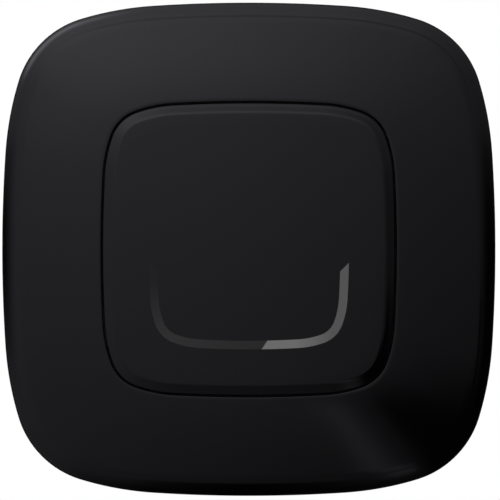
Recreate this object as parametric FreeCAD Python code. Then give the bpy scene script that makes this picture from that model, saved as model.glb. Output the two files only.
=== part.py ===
import FreeCAD, Part
import math
import os

# A battery-powered remote wall switch: a soft-square front plate with a rocking key in the middle.
# Behind the key a flat radio module is clipped to a wall plate, which is glued or screwed to the wall.
#
# Everything is drawn as it is seen on the wall: x to the right, y up the wall, z out of the wall.
# stand_up() then turns each piece upright, so the saved model has +Z up, its front facing -Y,
# and its origin in the middle of the back, on the wall. All sizes are in millimetres.

V = FreeCAD.Vector

# Front plate
PLATE_WIDTH = 92.0           # across the widest line of the rim
PLATE_SIDE_RADIUS = 273.0    # the long flat arc of each side
PLATE_CORNER_RADIUS = 17.4
PLATE_SIDE_ANGLE = 3.76      # half the turn of a side arc, in degrees
PLATE_CORNER_ANGLE = 16.9    # where the corner arc takes over, in degrees
PLATE_WALL = 1.8
PLATE_FACE_HEIGHT = 9.6      # the opening's edge above the wall
PLATE_REAR_GAP = 0.3         # shadow line between the plate and the wall
PLATE_SIDE_DRAFT = 0.7       # how far the skirt leans in towards the wall
INNER_SLOPE = 1.5            # slope of the face beside the opening, in degrees
OUTER_SLOPE = 8.0            # slope of the face where the rim begins, in degrees
RIM_RADIUS = 4.3             # the rounding between the side and the face
FACE_STRIPS = 3              # the face is laid in strips, each a little less steep
OPENING_EDGE_CHAMFER = 0.15
COLLAR_WALL = 1.2
COLLAR_DEPTH = 3.7
CEILING_CORNER = 0.2         # the corner radius left to the level part inside the plate
STIFFENER_THICKNESS = 1.0
STIFFENER_BOTTOM = 6.2
STIFFENER_ANGLES = (30.0, 60.0)   # in each quarter turn
PRY_NOTCH_WIDTH = 9.0        # where a screwdriver lifts the plate off, in the lower edge
PRY_NOTCH_HEIGHT = 1.2

# Key: the rocking square in the opening
KEY_WIDTH = 54.4
KEY_SIDE_RADIUS = 254.4
KEY_CORNER_RADIUS = 7.3
KEY_SIDE_ANGLE = 3.15
KEY_CORNER_ANGLE = 19.8
KEY_GAP = 0.4                # running gap between the key and the plate
KEY_WALL = 1.3
KEY_SKIRT_BOTTOM = 7.0
KEY_EDGE_HEIGHT = 9.6
KEY_EDGE_CHAMFER = 0.2
BEVEL_WIDTH = 1.9
BEVEL_SLOPE = 22.0           # in degrees
BEVEL_BEND_RADIUS = 1.6      # the soft bend between the bevel and the face
KEY_CEILING = 9.2            # the inside face of the key
KEY_TILT = 1.0               # each way from rest, in degrees

# Light guide: the U-shaped clear band let into the key
BAND_WIDTH = 1.6
BAND_INSET = 9.35            # from the key's edge to the band's centreline
BAND_SIDE_RADIUS = 166.0
BAND_CORNER_RADIUS = 4.85
BAND_TIP_HEIGHT = -2.5       # the highest point of each end, from the key's middle
BAND_FLANGE_WIDTH = 3.0
BAND_FLANGE_THICKNESS = 0.6
BAND_CLEARANCE = 0.03
GUIDE_TAIL_LENGTH = 3.6
GUIDE_TAIL_WIDTH = 2.2
GUIDE_TAIL_REACH = 1.4       # how far the tail reaches through the carrier

# Wall plate
WALL_PLATE_THICKNESS = 1.5
WALL_PLATE_CLEARANCE = 0.9   # to the inside of the front plate's skirt
WALL_PLATE_RIB = 1.4
WALL_PLATE_RIB_HEIGHT = 1.9
LATCH_SHIFT = 0.3            # from halfway between collar and edge to each latch arm's inner face
LATCH_THICKNESS = 1.2
LATCH_HEIGHT = 6.8
LATCH_WIDTH = 10.0
LATCH_NOSE = 0.8
LATCH_CATCH_HEIGHT = 5.3     # where the arm's nose and the front plate's ledge meet
LATCH_CLEARANCE = 0.2
LATCH_TAB_THICKNESS = 1.2
LATCH_TAB_BOTTOM = 3.2
SCREW_SPACING = 60.0         # the standard spacing of a round flush box
SCREW_HOLE_RADIUS = 1.8
SCREW_SLOT_LENGTH = 4.4
PAD_START = 8.5              # from the middle to the near end of each pad
PAD_END_MARGIN = 13.1        # from its far end to the level of the wall plate's edge
PAD_WINDOW_MARGIN = 1.6      # from its inner side to the module's window
PAD_EDGE_MARGIN = 6.35       # from its outer side to the wall plate's edge
PAD_THICKNESS = 0.5
PAD_CORNER_CLIP = 1.0
PAD_MARGIN = 0.3

# Radio module
MODULE_INSET = 2.3           # from the key's edge to the cover's side
MODULE_CORNER_RADIUS = 7.0
COVER_FRONT = 6.3
COVER_THICKNESS = 1.0
COVER_SKIRT_WALL = 0.9
COVER_FIT = 0.1              # between the cover's skirt and the tub
TUB_WALL = 1.2
TUB_BACK = 0.3
TUB_FLOOR = 1.0
FLANGE_THICKNESS = 1.0
FLANGE_MARGIN = 0.9          # how far the tub's flange stands out past the cover
WINDOW_CLEARANCE = 0.25
CLIP_THICKNESS = 1.2
CLIP_WIDTH = 8.0
CLIP_HEIGHT = 2.1
CLIP_NOSE = 0.8
CLIP_OFFSET = 14.0
CLIP_CLEARANCE = 0.15

# Circuit board and what stands on it
BOARD_THICKNESS = 0.8
BOARD_SEAT = 2.3             # the board's back face above the wall
BOARD_CLEARANCE = 0.3
BOARD_CORNER_RADIUS = 4.4
CELL_RADIUS = 10.0
CELL_THICKNESS = 3.2
CELL_CAP_RADIUS = 8.7
CELL_CAP_STEP = 0.3
CELL_BACK = 1.7
CELL_POCKET_CLEARANCE = 0.5
SWITCH_WIDTH = 6.0
SWITCH_BODY_HEIGHT = 3.1
SWITCH_CAP_THICKNESS = 0.3
SWITCH_CAP_TAB = 3.0
SWITCH_WINDOW_CLEARANCE = 0.3
STEM_RADIUS = 1.7
STEM_HEIGHT = 4.3            # the stem's top above the board
STEM_FLANGE = 0.6
STEM_FLANGE_THICKNESS = 0.4
STEM_FLANGE_HEIGHT = 2.1     # the flange's underside above the board
STEM_FIT = 0.1
STEM_POCKET_FLOOR = 1.6
DOME_REACH = 1.9
DOME_LEG_WIDTH = 1.2
DOME_HEIGHT = 0.12
DOME_SHEET = 0.06
LEAD_WIDTH = 0.7
LEAD_SHEET = 0.2
LEAD_REACH = 1.1
LEAD_RISE = 0.5
LEAD_OFFSET = 2.25
PAIRING_X = 16.5
PAIRING_Y = 8.0
PAIRING_WIDTH = 4.5
PAIRING_BODY_HEIGHT = 1.9
PAIRING_STEM_RADIUS = 1.0
PAIRING_STEM_TOP = 3.0
PAIRING_FLANGE = 0.35
PAIRING_FLANGE_HEIGHT = 1.0
PAIRING_FLANGE_THICKNESS = 0.3
PAIRING_POCKET_FLOOR = 0.5
PAIRING_LID = 0.3
PAIRING_HOLE_CLEARANCE = 0.2
SHIELD_WIDTH = 9.6
SHIELD_LENGTH = 13.0
SHIELD_HEIGHT = 1.8
SHIELD_SHEET = 0.2
SHIELD_X = -16.4
CHIP_WIDTH = 6.0
CHIP_HEIGHT = 0.9
ANTENNA_LENGTH = 7.0
ANTENNA_WIDTH = 2.0
ANTENNA_HEIGHT = 0.8
ANTENNA_X = 10.6
ANTENNA_Y = 20.3
CRYSTAL_LENGTH = 3.2
CRYSTAL_WIDTH = 2.5
CRYSTAL_HEIGHT = 0.7
CRYSTAL_X = -16.4
CRYSTAL_Y = -10.0
CAPACITOR_LENGTH = 1.6
CAPACITOR_WIDTH = 0.8
CAPACITOR_HEIGHT = 0.8
CAPACITOR_PITCH = 2.4
CAPACITOR_ROW = 4
CAPACITOR_X = -17.0
CAPACITOR_Y = 13.4
LED_X = 9.0
LED_LENGTH = 1.6
LED_WIDTH = 1.2
LED_HEIGHT = 0.7
PIPE_LENGTH = 3.2
PIPE_WIDTH = 2.4
PIPE_FLANGE = 0.6
PIPE_FLANGE_THICKNESS = 0.6
PIPE_GAP = 0.3
PIPE_PROUD = 0.15
PIPE_FIT = 0.05
CONTACT_SHEET = 0.25
CONTACT_WIDTH = 5.0
CONTACT_FOOT = 2.6
CONTACT_LIP = 2.8
SPRING_WIDTH = 4.0
SPRING_FOOT = 2.4
SPRING_BEND = 0.9

# Housing screws
SCREW_INSET = 3.7            # from the tub's inside to each of the two screws
SCREW_RADIUS = 0.8
SCREW_HEAD_RADIUS = 1.7
SCREW_HEAD_HEIGHT = 0.9
SCREW_HEAD_RECESS = 0.3
SCREW_LENGTH = 4.6           # under the head
SCREW_FIT = 0.03
SCREW_PASSAGE = 0.15
SCREW_DRIVE_WIDTH = 0.5
SCREW_DRIVE_LENGTH = 2.0
SCREW_DRIVE_DEPTH = 0.5
BOSS_RADIUS = 2.3
POST_WIDTH = 3.6             # the board's plain rests in the other two corners

# Key carrier, its pivot and its stops
CARRIER_MARGIN = 1.05        # from the guide tail's hole to the carrier's lower edge
CARRIER_CORNER_RADIUS = 3.0
CARRIER_BACK = 7.7
CARRIER_FRONT = 8.5
CARRIER_OPENING_RADIUS = 11.3
PRESS_PAD_WIDTH = 5.0
PRESS_PAD_INSET = 0.1        # from each press pad to the carrier's edge
PRESS_PAD_CLEARANCE = 0.1    # to the switch stem at rest
PIVOT_HEIGHT = 7.7
PIVOT_RADIUS = 0.8
PIVOT_FIT = 0.05
PIVOT_LENGTH = 2.3
PIVOT_BLOCK = 2.4
PIVOT_BLOCK_INSET = 1.8
EAR_THICKNESS = 1.8
EAR_GAP = 0.6                # between the carrier and each bearing ear
EAR_INSET = 0.5              # from each ear to the cover's side
EAR_HALF_WIDTH = 2.2
EAR_TOP = 8.9
EAR_SLOT = 1.2
STOP_X = 15.0
STOP_WIDTH = 2.4
STOP_CLEARANCE = 0.05
HOOK_X = 10.0
HOOK_WIDTH = 5.0
HOOK_THICKNESS = 1.0
HOOK_CLEARANCE = 0.1
HOOK_NOSE = 0.6
HOOK_NOSE_THICKNESS = 0.45
SEAT_RIB_THICKNESS = 0.9
SEAT_RIB_SIDE_GAP = 3.35     # from the outer ribs to the guide's flange
SEAT_RIB_END_GAP = 1.75      # from the ribs' lower ends to the guide's flange
SEAT_RIB_INSET = 1.1         # from their upper ends to the carrier's edge

# Places that follow from the sizes above
COLLAR_HALF = KEY_WIDTH / 2 + KEY_GAP + COLLAR_WALL
WALL_PLATE_INSET = PLATE_SIDE_DRAFT + PLATE_WALL + WALL_PLATE_CLEARANCE
WALL_PLATE_HALF = PLATE_WIDTH / 2 - WALL_PLATE_INSET
LATCH_RADIUS = (COLLAR_HALF + WALL_PLATE_HALF) / 2 + LATCH_SHIFT   # the inner face of each latch arm
MODULE_WIDTH = KEY_WIDTH - 2 * MODULE_INSET
TUB_HALF = MODULE_WIDTH / 2 - COVER_SKIRT_WALL - COVER_FIT         # the cover's skirt slips over it
WINDOW_HALF = TUB_HALF + WINDOW_CLEARANCE
PAD_LENGTH = WALL_PLATE_HALF - PAD_END_MARGIN - PAD_START
PAD_WIDTH = WALL_PLATE_HALF - PAD_EDGE_MARGIN - WINDOW_HALF - PAD_WINDOW_MARGIN
PAD_X = PAD_START + PAD_LENGTH / 2
PAD_Y = WINDOW_HALF + PAD_WINDOW_MARGIN + PAD_WIDTH / 2
SCREW_X = TUB_HALF - TUB_WALL - SCREW_INSET
BAND_HALF_SPAN = KEY_WIDTH / 2 - BAND_INSET    # to the band's centreline
CARRIER_HALF_X = MODULE_WIDTH / 2 - EAR_INSET - EAR_THICKNESS - EAR_GAP
CARRIER_HALF_Y = BAND_HALF_SPAN + GUIDE_TAIL_WIDTH / 2 + HOOK_CLEARANCE + CARRIER_MARGIN
SWITCH_OFFSET = CARRIER_HALF_Y - PRESS_PAD_INSET - PRESS_PAD_WIDTH / 2    # from the middle to each switch
FLANGE_INSIDE = BAND_HALF_SPAN - BAND_FLANGE_WIDTH / 2
SEAT_RIB_X = FLANGE_INSIDE - SEAT_RIB_SIDE_GAP
SEAT_RIB_BOTTOM = SEAT_RIB_END_GAP - FLANGE_INSIDE
SEAT_RIB_TOP = CARRIER_HALF_Y - SEAT_RIB_INSET

EXTRA = 1.0                  # how far a cutting tool runs past what it cuts


# Outlines

class Outline:
    """A soft square of tangent arcs: flat ones on the sides, tight ones at the corners, blends between."""

    def __init__(self, half, side_radius, corner_radius, side_angle, corner_angle):
        self.sizes = (half, side_radius, corner_radius, side_angle, corner_angle)

    def between(self, other, share):
        """The outline that lies the given share of the way to another one."""
        mixed = [a + (b - a) * share for a, b in zip(self.sizes, other.sizes)]
        return Outline(*mixed)

    def arcs(self, grow):
        """Centres, radii and angles of the three arcs from the middle of a side to the diagonal."""
        half, side, corner, side_angle, corner_angle = self.sizes
        first, last = math.radians(side_angle), math.radians(corner_angle)
        lean_first = math.cos(first) - math.sin(first)
        lean_last = math.cos(last) - math.sin(last)
        # The corner arc's centre has to lie on the diagonal, which sets the blend arc's radius.
        blend = (half - side + side * lean_first - corner * lean_last) / (lean_first - lean_last)
        side_centre = V(half - side, 0, 0)
        blend_centre = side_centre + V(math.cos(first), math.sin(first), 0) * (side - blend)
        corner_centre = blend_centre + V(math.cos(last), math.sin(last), 0) * (blend - corner)
        return [
            (side_centre, side + grow, -first, first),
            (blend_centre, blend + grow, first, last),
            (corner_centre, corner + grow, last, math.pi / 2 - last),
        ]

    def quarter_arcs(self, grow):
        """The four arcs of a quarter of the outline: side, blend, corner and the blend back."""
        side, blend, corner = self.arcs(grow)
        centre, radius, start, end = blend
        blend_back = (V(centre.y, centre.x, 0), radius, math.pi / 2 - end, math.pi / 2 - start)
        return [side, blend, corner, blend_back]

    def wire(self, grow=0.0, z=0.0):
        """The closed outline at height z, moved outwards by grow."""
        edges = []
        for quarter in range(4):
            for centre, radius, start, end in self.quarter_arcs(grow):
                edges.append(arc(centre, radius, start, end, quarter * math.pi / 2, z))
        return Part.Wire(edges)

    def grown(self, grow):
        """The parallel outline, moved outwards by grow."""
        half, side, corner, side_angle, corner_angle = self.sizes
        return Outline(half + grow, side + grow, corner + grow, side_angle, corner_angle)

    def scaled(self, share):
        """The same outline at another size."""
        half, side, corner, side_angle, corner_angle = self.sizes
        return Outline(half * share, side * share, corner * share, side_angle, corner_angle)

    def prism(self, z0, z1, grow=0.0):
        """The outline's solid between two heights."""
        return Part.Face(self.wire(grow, z0)).extrude(V(0, 0, z1 - z0))

    def swept(self, profile):
        """The faces of a profile taken round the outline. Its edges lie in (outwards, height)."""
        faces = []
        for quarter in range(4):
            for centre, radius, start, end in self.quarter_arcs(0):
                edges = profile.copy()
                edges.translate(V(radius, 0, 0))
                edges.rotate(V(0, 0, 0), V(0, 0, 1), math.degrees(start))
                edges.translate(centre)
                patch = edges.revolve(centre, V(0, 0, 1), math.degrees(end - start))
                faces += turned(patch, 90 * quarter).Faces
        return faces

    def swept_solid(self, profile):
        """The same, closed with a flat face at each end of the profile."""
        ends = [profile.OrderedVertexes[number].Point for number in (0, -1)]
        caps = [Part.Face(self.wire(end.x, end.z)) for end in ends]
        return closed(self.swept(profile) + caps)


def arc(centre, radius, start, end, turn, z):
    """An arc about a centre, turned about the drawing's middle."""
    points = []
    for angle in (start, (start + end) / 2, end):
        x = centre.x + radius * math.cos(angle)
        y = centre.y + radius * math.sin(angle)
        points.append(V(
            x * math.cos(turn) - y * math.sin(turn), x * math.sin(turn) + y * math.cos(turn), z
        ))
    return Part.Arc(*points).toShape()


RIM = Outline(
    PLATE_WIDTH / 2, PLATE_SIDE_RADIUS, PLATE_CORNER_RADIUS, PLATE_SIDE_ANGLE, PLATE_CORNER_ANGLE
)
KEY = Outline(KEY_WIDTH / 2, KEY_SIDE_RADIUS, KEY_CORNER_RADIUS, KEY_SIDE_ANGLE, KEY_CORNER_ANGLE)
OPENING = KEY.grown(KEY_GAP)
BAND = Outline(BAND_HALF_SPAN, BAND_SIDE_RADIUS, BAND_CORNER_RADIUS, KEY_SIDE_ANGLE, KEY_CORNER_ANGLE)


# Plain shapes

def block(x0, x1, y0, y1, z0, z1):
    """A plain block between two corners."""
    return Part.makeBox(x1 - x0, y1 - y0, z1 - z0, V(x0, y0, z0))


def disc(x, y, radius, z0, z1):
    """A round of the given radius, standing on the wall's plane."""
    return Part.makeCylinder(radius, z1 - z0, V(x, y, z0))


def rounded_block(x, y, half_x, half_y, radius, z0, z1):
    """A block about (x, y) with its four upright edges rounded."""
    corners = [(half_x - radius, half_y - radius, 0), (radius - half_x, half_y - radius, 90),
               (radius - half_x, radius - half_y, 180), (half_x - radius, radius - half_y, 270)]
    arcs = []
    for cx, cy, start in corners:
        first, last = math.radians(start), math.radians(start + 90)
        arcs.append(arc(V(x + cx, y + cy, 0), radius, first, last, 0, z0))
    edges = []
    for number, edge in enumerate(arcs):
        following = arcs[(number + 1) % 4]
        edges += [edge, Part.LineSegment(edge.valueAt(edge.LastParameter),
                                         following.valueAt(following.FirstParameter)).toShape()]
    return Part.Face(Part.Wire(edges)).extrude(V(0, 0, z1 - z0))


def slot(x, y, length, radius, z0, z1):
    """A round-ended slot lying along x."""
    reach = length / 2 - radius
    return fuse([disc(x - reach, y, radius, z0, z1), disc(x + reach, y, radius, z0, z1),
                 block(x - reach, x + reach, y - radius, y + radius, z0, z1)])


def side_profile(points, width, along=0.0):
    """A bar on the right-hand side: points are (x, z), and it runs along y for the given width."""
    corners = [V(x, along - width / 2, z) for x, z in points]
    face = Part.Face(Part.makePolygon(corners + corners[:1]))
    return face.extrude(V(0, width, 0))


def clipped_block(x, y, half_x, half_y, clip, z0, z1):
    """A block about (x, y) with its four upright edges cut off at 45 degrees."""
    corners = []
    for side_x, side_y in ((1, 1), (-1, 1), (-1, -1), (1, -1)):
        along = V(x + side_x * (half_x - clip), y + side_y * half_y, z0)
        across = V(x + side_x * half_x, y + side_y * (half_y - clip), z0)
        corners += [across, along] if side_x == side_y else [along, across]
    return Part.Face(Part.makePolygon(corners + corners[:1])).extrude(V(0, 0, z1 - z0))


def square_block(x, y, width, z0, z1):
    """A plain square block about (x, y)."""
    half = width / 2
    return block(x - half, x + half, y - half, y + half, z0, z1)


def turned(shape, degrees):
    """A copy turned about the drawing's middle."""
    copy = shape.copy()
    copy.rotate(V(0, 0, 0), V(0, 0, 1), degrees)
    return copy


def four_ways(shape):
    """The shape on each of the four sides."""
    return [turned(shape, 90 * quarter) for quarter in range(4)]


def fuse(shapes):
    """All the shapes as one."""
    return shapes[0].multiFuse(shapes[1:]).removeSplitter() if len(shapes) > 1 else shapes[0]


def strips(wires):
    """The faces between closed outlines that follow one another, straight from each to the next."""
    return Part.makeLoft(wires, False, True).Faces


def closed(faces):
    """The solid inside a closed set of faces."""
    shell = Part.Shell(faces)
    shell.sewShape()
    solid = Part.Solid(shell)
    if solid.Volume < 0:
        solid.reverse()
    return solid


def line(first, last):
    """A straight stretch of a profile between two (outwards, height) points."""
    return Part.LineSegment(V(first[0], 0, first[1]), V(last[0], 0, last[1])).toShape()


def round_stretch(centre, radius, first, last):
    """A round stretch of a profile. Angles are in degrees from straight up, turning outwards."""
    points = []
    for degrees in (first, (first + last) / 2, last):
        angle = math.radians(degrees)
        points.append(V(centre[0] + radius * math.sin(angle), 0, centre[1] + radius * math.cos(angle)))
    return Part.Arc(*points).toShape()


def start_of(edge):
    """The (outwards, height) point where a stretch starts."""
    point = edge.valueAt(edge.FirstParameter)
    return point.x, point.z


def end_of(edge):
    """The (outwards, height) point where a stretch ends."""
    point = edge.valueAt(edge.LastParameter)
    return point.x, point.z


# Front plate

def face_height(half):
    """The face's height at a half width: a parabola whose slope grows towards the rim."""
    slope_in = math.tan(math.radians(INNER_SLOPE))
    slope_out = math.tan(math.radians(OUTER_SLOPE))
    reach = half - OPENING.sizes[0]
    whole_reach = RIM.sizes[0] - RIM_RADIUS * (1 - math.sin(math.radians(OUTER_SLOPE))) - OPENING.sizes[0]
    return PLATE_FACE_HEIGHT - slope_in * reach - (slope_out - slope_in) * reach ** 2 / (2 * whole_reach)


def rim_rounding(inset):
    """The rim's round stretch, which meets the side upright and the face at its own slope."""
    tilt = math.radians(OUTER_SLOPE)
    takeover = RIM.sizes[0] - RIM_RADIUS * (1 - math.sin(tilt))
    centre = (-RIM_RADIUS, face_height(takeover) - RIM_RADIUS * math.cos(tilt))
    return round_stretch(centre, RIM_RADIUS - inset, 90, OUTER_SLOPE)


def plate_body():
    """The solid inside the plate's outer skin.

    The skirt and the rim are one profile swept round the outline. The face is laid in strips
    from the rim to the opening's outline, so each soft square grows smoothly into the other.
    """
    rounding = rim_rounding(0)
    foot = (-PLATE_SIDE_DRAFT, PLATE_REAR_GAP)
    profile = Part.Wire([line(foot, start_of(rounding)), rounding])
    grow, height = end_of(rounding)
    edge = RIM.grown(grow)
    drop = height - face_height(edge.sizes[0])
    sections = []
    for strip in range(FACE_STRIPS + 1):
        outline = edge.between(OPENING, strip / FACE_STRIPS)
        sections.append(outline.wire(0, face_height(outline.sizes[0]) + drop))
    caps = [Part.Face(RIM.wire(*foot)), Part.Face(sections[-1])]
    return closed(RIM.swept(profile) + strips(sections) + caps)


def plate_hollow():
    """The hollow of the shell, one wall thickness in: a skirt, a bevel at the rim and a sloping ceiling."""
    rounding = rim_rounding(PLATE_WALL)
    widest = start_of(rounding)
    lean = PLATE_SIDE_DRAFT / (widest[1] - PLATE_REAR_GAP)
    rear = PLATE_REAR_GAP - EXTRA
    foot = (widest[0] - lean * (widest[1] - rear), rear)
    # The ceiling slopes as far in as the collar, or as the outline's corner radius lasts.
    run = min(RIM.sizes[0] - COLLAR_HALF, PLATE_CORNER_RADIUS - CEILING_CORNER)
    sink = face_height(COLLAR_HALF) - face_height(RIM.sizes[0] - run)
    level = (-run, PLATE_FACE_HEIGHT - PLATE_WALL - sink)
    points = [foot, widest, end_of(rounding), level]
    return RIM.swept_solid(Part.makePolygon([V(x, 0, z) for x, z in points]))


def front_plate():
    """The decorative surround: a thin shell with a collar round the key and catches inside."""
    collar = OPENING.prism(PLATE_FACE_HEIGHT - COLLAR_DEPTH, PLATE_FACE_HEIGHT + EXTRA, COLLAR_WALL)
    hollow = plate_hollow().cut(collar)
    shell = plate_body().cut(hollow)
    notch = block(-PRY_NOTCH_WIDTH / 2, PRY_NOTCH_WIDTH / 2, -PLATE_WIDTH, 2 * PLATE_WALL - PLATE_WIDTH / 2,
                  PLATE_REAR_GAP - EXTRA, PLATE_REAR_GAP + PRY_NOTCH_HEIGHT)
    inside = plate_stiffeners(hollow) + plate_catches(hollow)
    return fuse([shell] + inside).cut(fuse([opening_tool(), notch]))


def opening_tool():
    """The tool that cuts the opening and the small chamfer round its front edge."""
    clip = OPENING_EDGE_CHAMFER
    points = [(0, -EXTRA), (0, PLATE_FACE_HEIGHT - clip), (clip, PLATE_FACE_HEIGHT),
              (clip, PLATE_FACE_HEIGHT + EXTRA)]
    return OPENING.swept_solid(Part.makePolygon([V(x, 0, z) for x, z in points]))


def plate_stiffeners(hollow):
    """Thin radial webs between the collar and the rim, trimmed to the inside of the shell."""
    blade = block(
        OPENING.sizes[0], PLATE_WIDTH, -STIFFENER_THICKNESS / 2, STIFFENER_THICKNESS / 2,
        STIFFENER_BOTTOM, PLATE_FACE_HEIGHT
    )
    ring = hollow.cut(OPENING.prism(-EXTRA, PLATE_FACE_HEIGHT, COLLAR_WALL))
    webs = []
    for degrees in STIFFENER_ANGLES:
        webs += four_ways(turned(blade, degrees).common(ring))
    return webs


def plate_catches(hollow):
    """Four tabs with a ledge, which the wall plate's latches hook over."""
    inner = LATCH_RADIUS + LATCH_THICKNESS + LATCH_NOSE + LATCH_CLEARANCE
    outer = inner + LATCH_TAB_THICKNESS
    ledge = LATCH_RADIUS + LATCH_THICKNESS + LATCH_CLEARANCE
    tab = side_profile([
        (inner, PLATE_FACE_HEIGHT), (outer, PLATE_FACE_HEIGHT), (outer, LATCH_TAB_BOTTOM),
        (inner + LATCH_TAB_THICKNESS / 3, LATCH_TAB_BOTTOM), (ledge, LATCH_CATCH_HEIGHT - LATCH_NOSE),
        (ledge, LATCH_CATCH_HEIGHT), (inner, LATCH_CATCH_HEIGHT)
    ], LATCH_WIDTH + 2 * LATCH_CLEARANCE)
    return [side.common(hollow) for side in four_ways(tab)]


# Wall plate

def wall_plate():
    """The flat mount: glued or screwed to the wall, it holds the module and the front plate."""
    grow = -WALL_PLATE_INSET
    base = RIM.prism(0, WALL_PLATE_THICKNESS, grow)
    rib_top = WALL_PLATE_THICKNESS + WALL_PLATE_RIB_HEIGHT
    rib = RIM.prism(0, rib_top, grow).cut(RIM.prism(-EXTRA, rib_top + EXTRA, grow - WALL_PLATE_RIB))
    window = rounded_block(
        0, 0, WINDOW_HALF, WINDOW_HALF,
        MODULE_CORNER_RADIUS - COVER_SKIRT_WALL, -EXTRA, WALL_PLATE_THICKNESS + EXTRA
    )
    body = fuse([base, rib] + four_ways(latch_arm()) + module_clips())
    return body.cut(fuse([window] + four_ways(latch_relief()) + screw_cuts() + pad_pockets()))


def latch_arm():
    """The right-hand latch: an upright arm whose nose hooks over the front plate's ledge."""
    outer = LATCH_RADIUS + LATCH_THICKNESS
    return side_profile([
        (LATCH_RADIUS, 0), (outer, 0), (outer, LATCH_CATCH_HEIGHT),
        (outer + LATCH_NOSE, LATCH_CATCH_HEIGHT),
        (outer + LATCH_NOSE, (LATCH_CATCH_HEIGHT + LATCH_HEIGHT) / 2), (outer, LATCH_HEIGHT),
        (LATCH_RADIUS, LATCH_HEIGHT)
    ], LATCH_WIDTH)


def latch_relief():
    """The slot under each latch nose, which lets the mould form it."""
    outer = LATCH_RADIUS + LATCH_THICKNESS
    return block(outer, outer + 2 * LATCH_NOSE, -LATCH_WIDTH / 2, LATCH_WIDTH / 2,
                 -EXTRA, WALL_PLATE_THICKNESS + EXTRA)


def module_clips():
    """Two short clips on the left and two on the right, which hold the module's flange down."""
    inner = flange_half() + CLIP_CLEARANCE
    flange_top = WALL_PLATE_THICKNESS + FLANGE_THICKNESS
    top = WALL_PLATE_THICKNESS + CLIP_HEIGHT
    clips = []
    for along in (-CLIP_OFFSET, CLIP_OFFSET):
        clip = side_profile([
            (inner, 0), (inner + CLIP_THICKNESS, 0), (inner + CLIP_THICKNESS, top), (inner, top),
            (inner - CLIP_NOSE, (flange_top + top) / 2), (inner - CLIP_NOSE, flange_top),
            (inner, flange_top)
        ], CLIP_WIDTH, along)
        clips += [clip, turned(clip, 180)]
    return clips


def screw_cuts():
    """Two slots on the level and two round holes above and below, at a flush box's spacing."""
    top = WALL_PLATE_THICKNESS + EXTRA
    cuts = []
    for side in (-SCREW_SPACING / 2, SCREW_SPACING / 2):
        cuts.append(slot(side, 0, SCREW_SLOT_LENGTH, SCREW_HOLE_RADIUS, -EXTRA, top))
        cuts.append(disc(0, side, SCREW_HOLE_RADIUS, -EXTRA, top))
    return cuts


def pad_places():
    """The middle of each adhesive pad."""
    return [(x, y) for x in (-PAD_X, PAD_X) for y in (-PAD_Y, PAD_Y)]


def pad_pockets():
    """Shallow pockets in the back for the adhesive pads."""
    half_x, half_y = PAD_LENGTH / 2 + PAD_MARGIN, PAD_WIDTH / 2 + PAD_MARGIN
    return [block(x - half_x, x + half_x, y - half_y, y + half_y, -EXTRA, PAD_THICKNESS)
            for x, y in pad_places()]


def adhesive_pads():
    """Four foam pads, level with the wall plate's back."""
    clip = min(PAD_CORNER_CLIP, PAD_WIDTH / 4)
    return Part.makeCompound([
        clipped_block(x, y, PAD_LENGTH / 2, PAD_WIDTH / 2, clip, 0, PAD_THICKNESS)
        for x, y in pad_places()
    ])


# Module housing

def flange_half():
    """Half the width of the flange that the wall plate's clips hold."""
    return MODULE_WIDTH / 2 + FLANGE_MARGIN


def screw_places():
    """The middle of each housing screw."""
    return [(-SCREW_X, SCREW_X), (SCREW_X, -SCREW_X)]


def post_places():
    """The middle of each plain rest, in the corners without a screw."""
    return [(SCREW_X, SCREW_X), (-SCREW_X, -SCREW_X)]


def module_base():
    """The rear half of the module: a tub through the wall plate's window, with a flange round it."""
    half = TUB_HALF
    corner = MODULE_CORNER_RADIUS - COVER_SKIRT_WALL - COVER_FIT
    rim = COVER_FRONT - COVER_THICKNESS
    floor = TUB_BACK + TUB_FLOOR
    tub = rounded_block(0, 0, half, half, corner, TUB_BACK, rim)
    hollow = rounded_block(0, 0, half - TUB_WALL, half - TUB_WALL, corner - TUB_WALL, floor, rim + EXTRA)
    flange = rounded_block(0, 0, flange_half(), flange_half(), MODULE_CORNER_RADIUS + FLANGE_MARGIN,
                           WALL_PLATE_THICKNESS, WALL_PLATE_THICKNESS + FLANGE_THICKNESS)
    bosses = [disc(x, y, BOSS_RADIUS, TUB_BACK, BOARD_SEAT) for x, y in screw_places()]
    posts = [square_block(x, y, POST_WIDTH, TUB_BACK, BOARD_SEAT) for x, y in post_places()]
    head_floor = TUB_BACK + SCREW_HEAD_RECESS + SCREW_HEAD_HEIGHT
    cuts = []
    for x, y in screw_places():
        cuts.append(disc(x, y, SCREW_HEAD_RADIUS + SCREW_PASSAGE, TUB_BACK - EXTRA, head_floor))
        cuts.append(disc(x, y, SCREW_RADIUS + SCREW_PASSAGE, TUB_BACK, BOARD_SEAT + EXTRA))
    return fuse([fuse([tub, flange]).cut(hollow)] + bosses + posts).cut(fuse(cuts))


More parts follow.
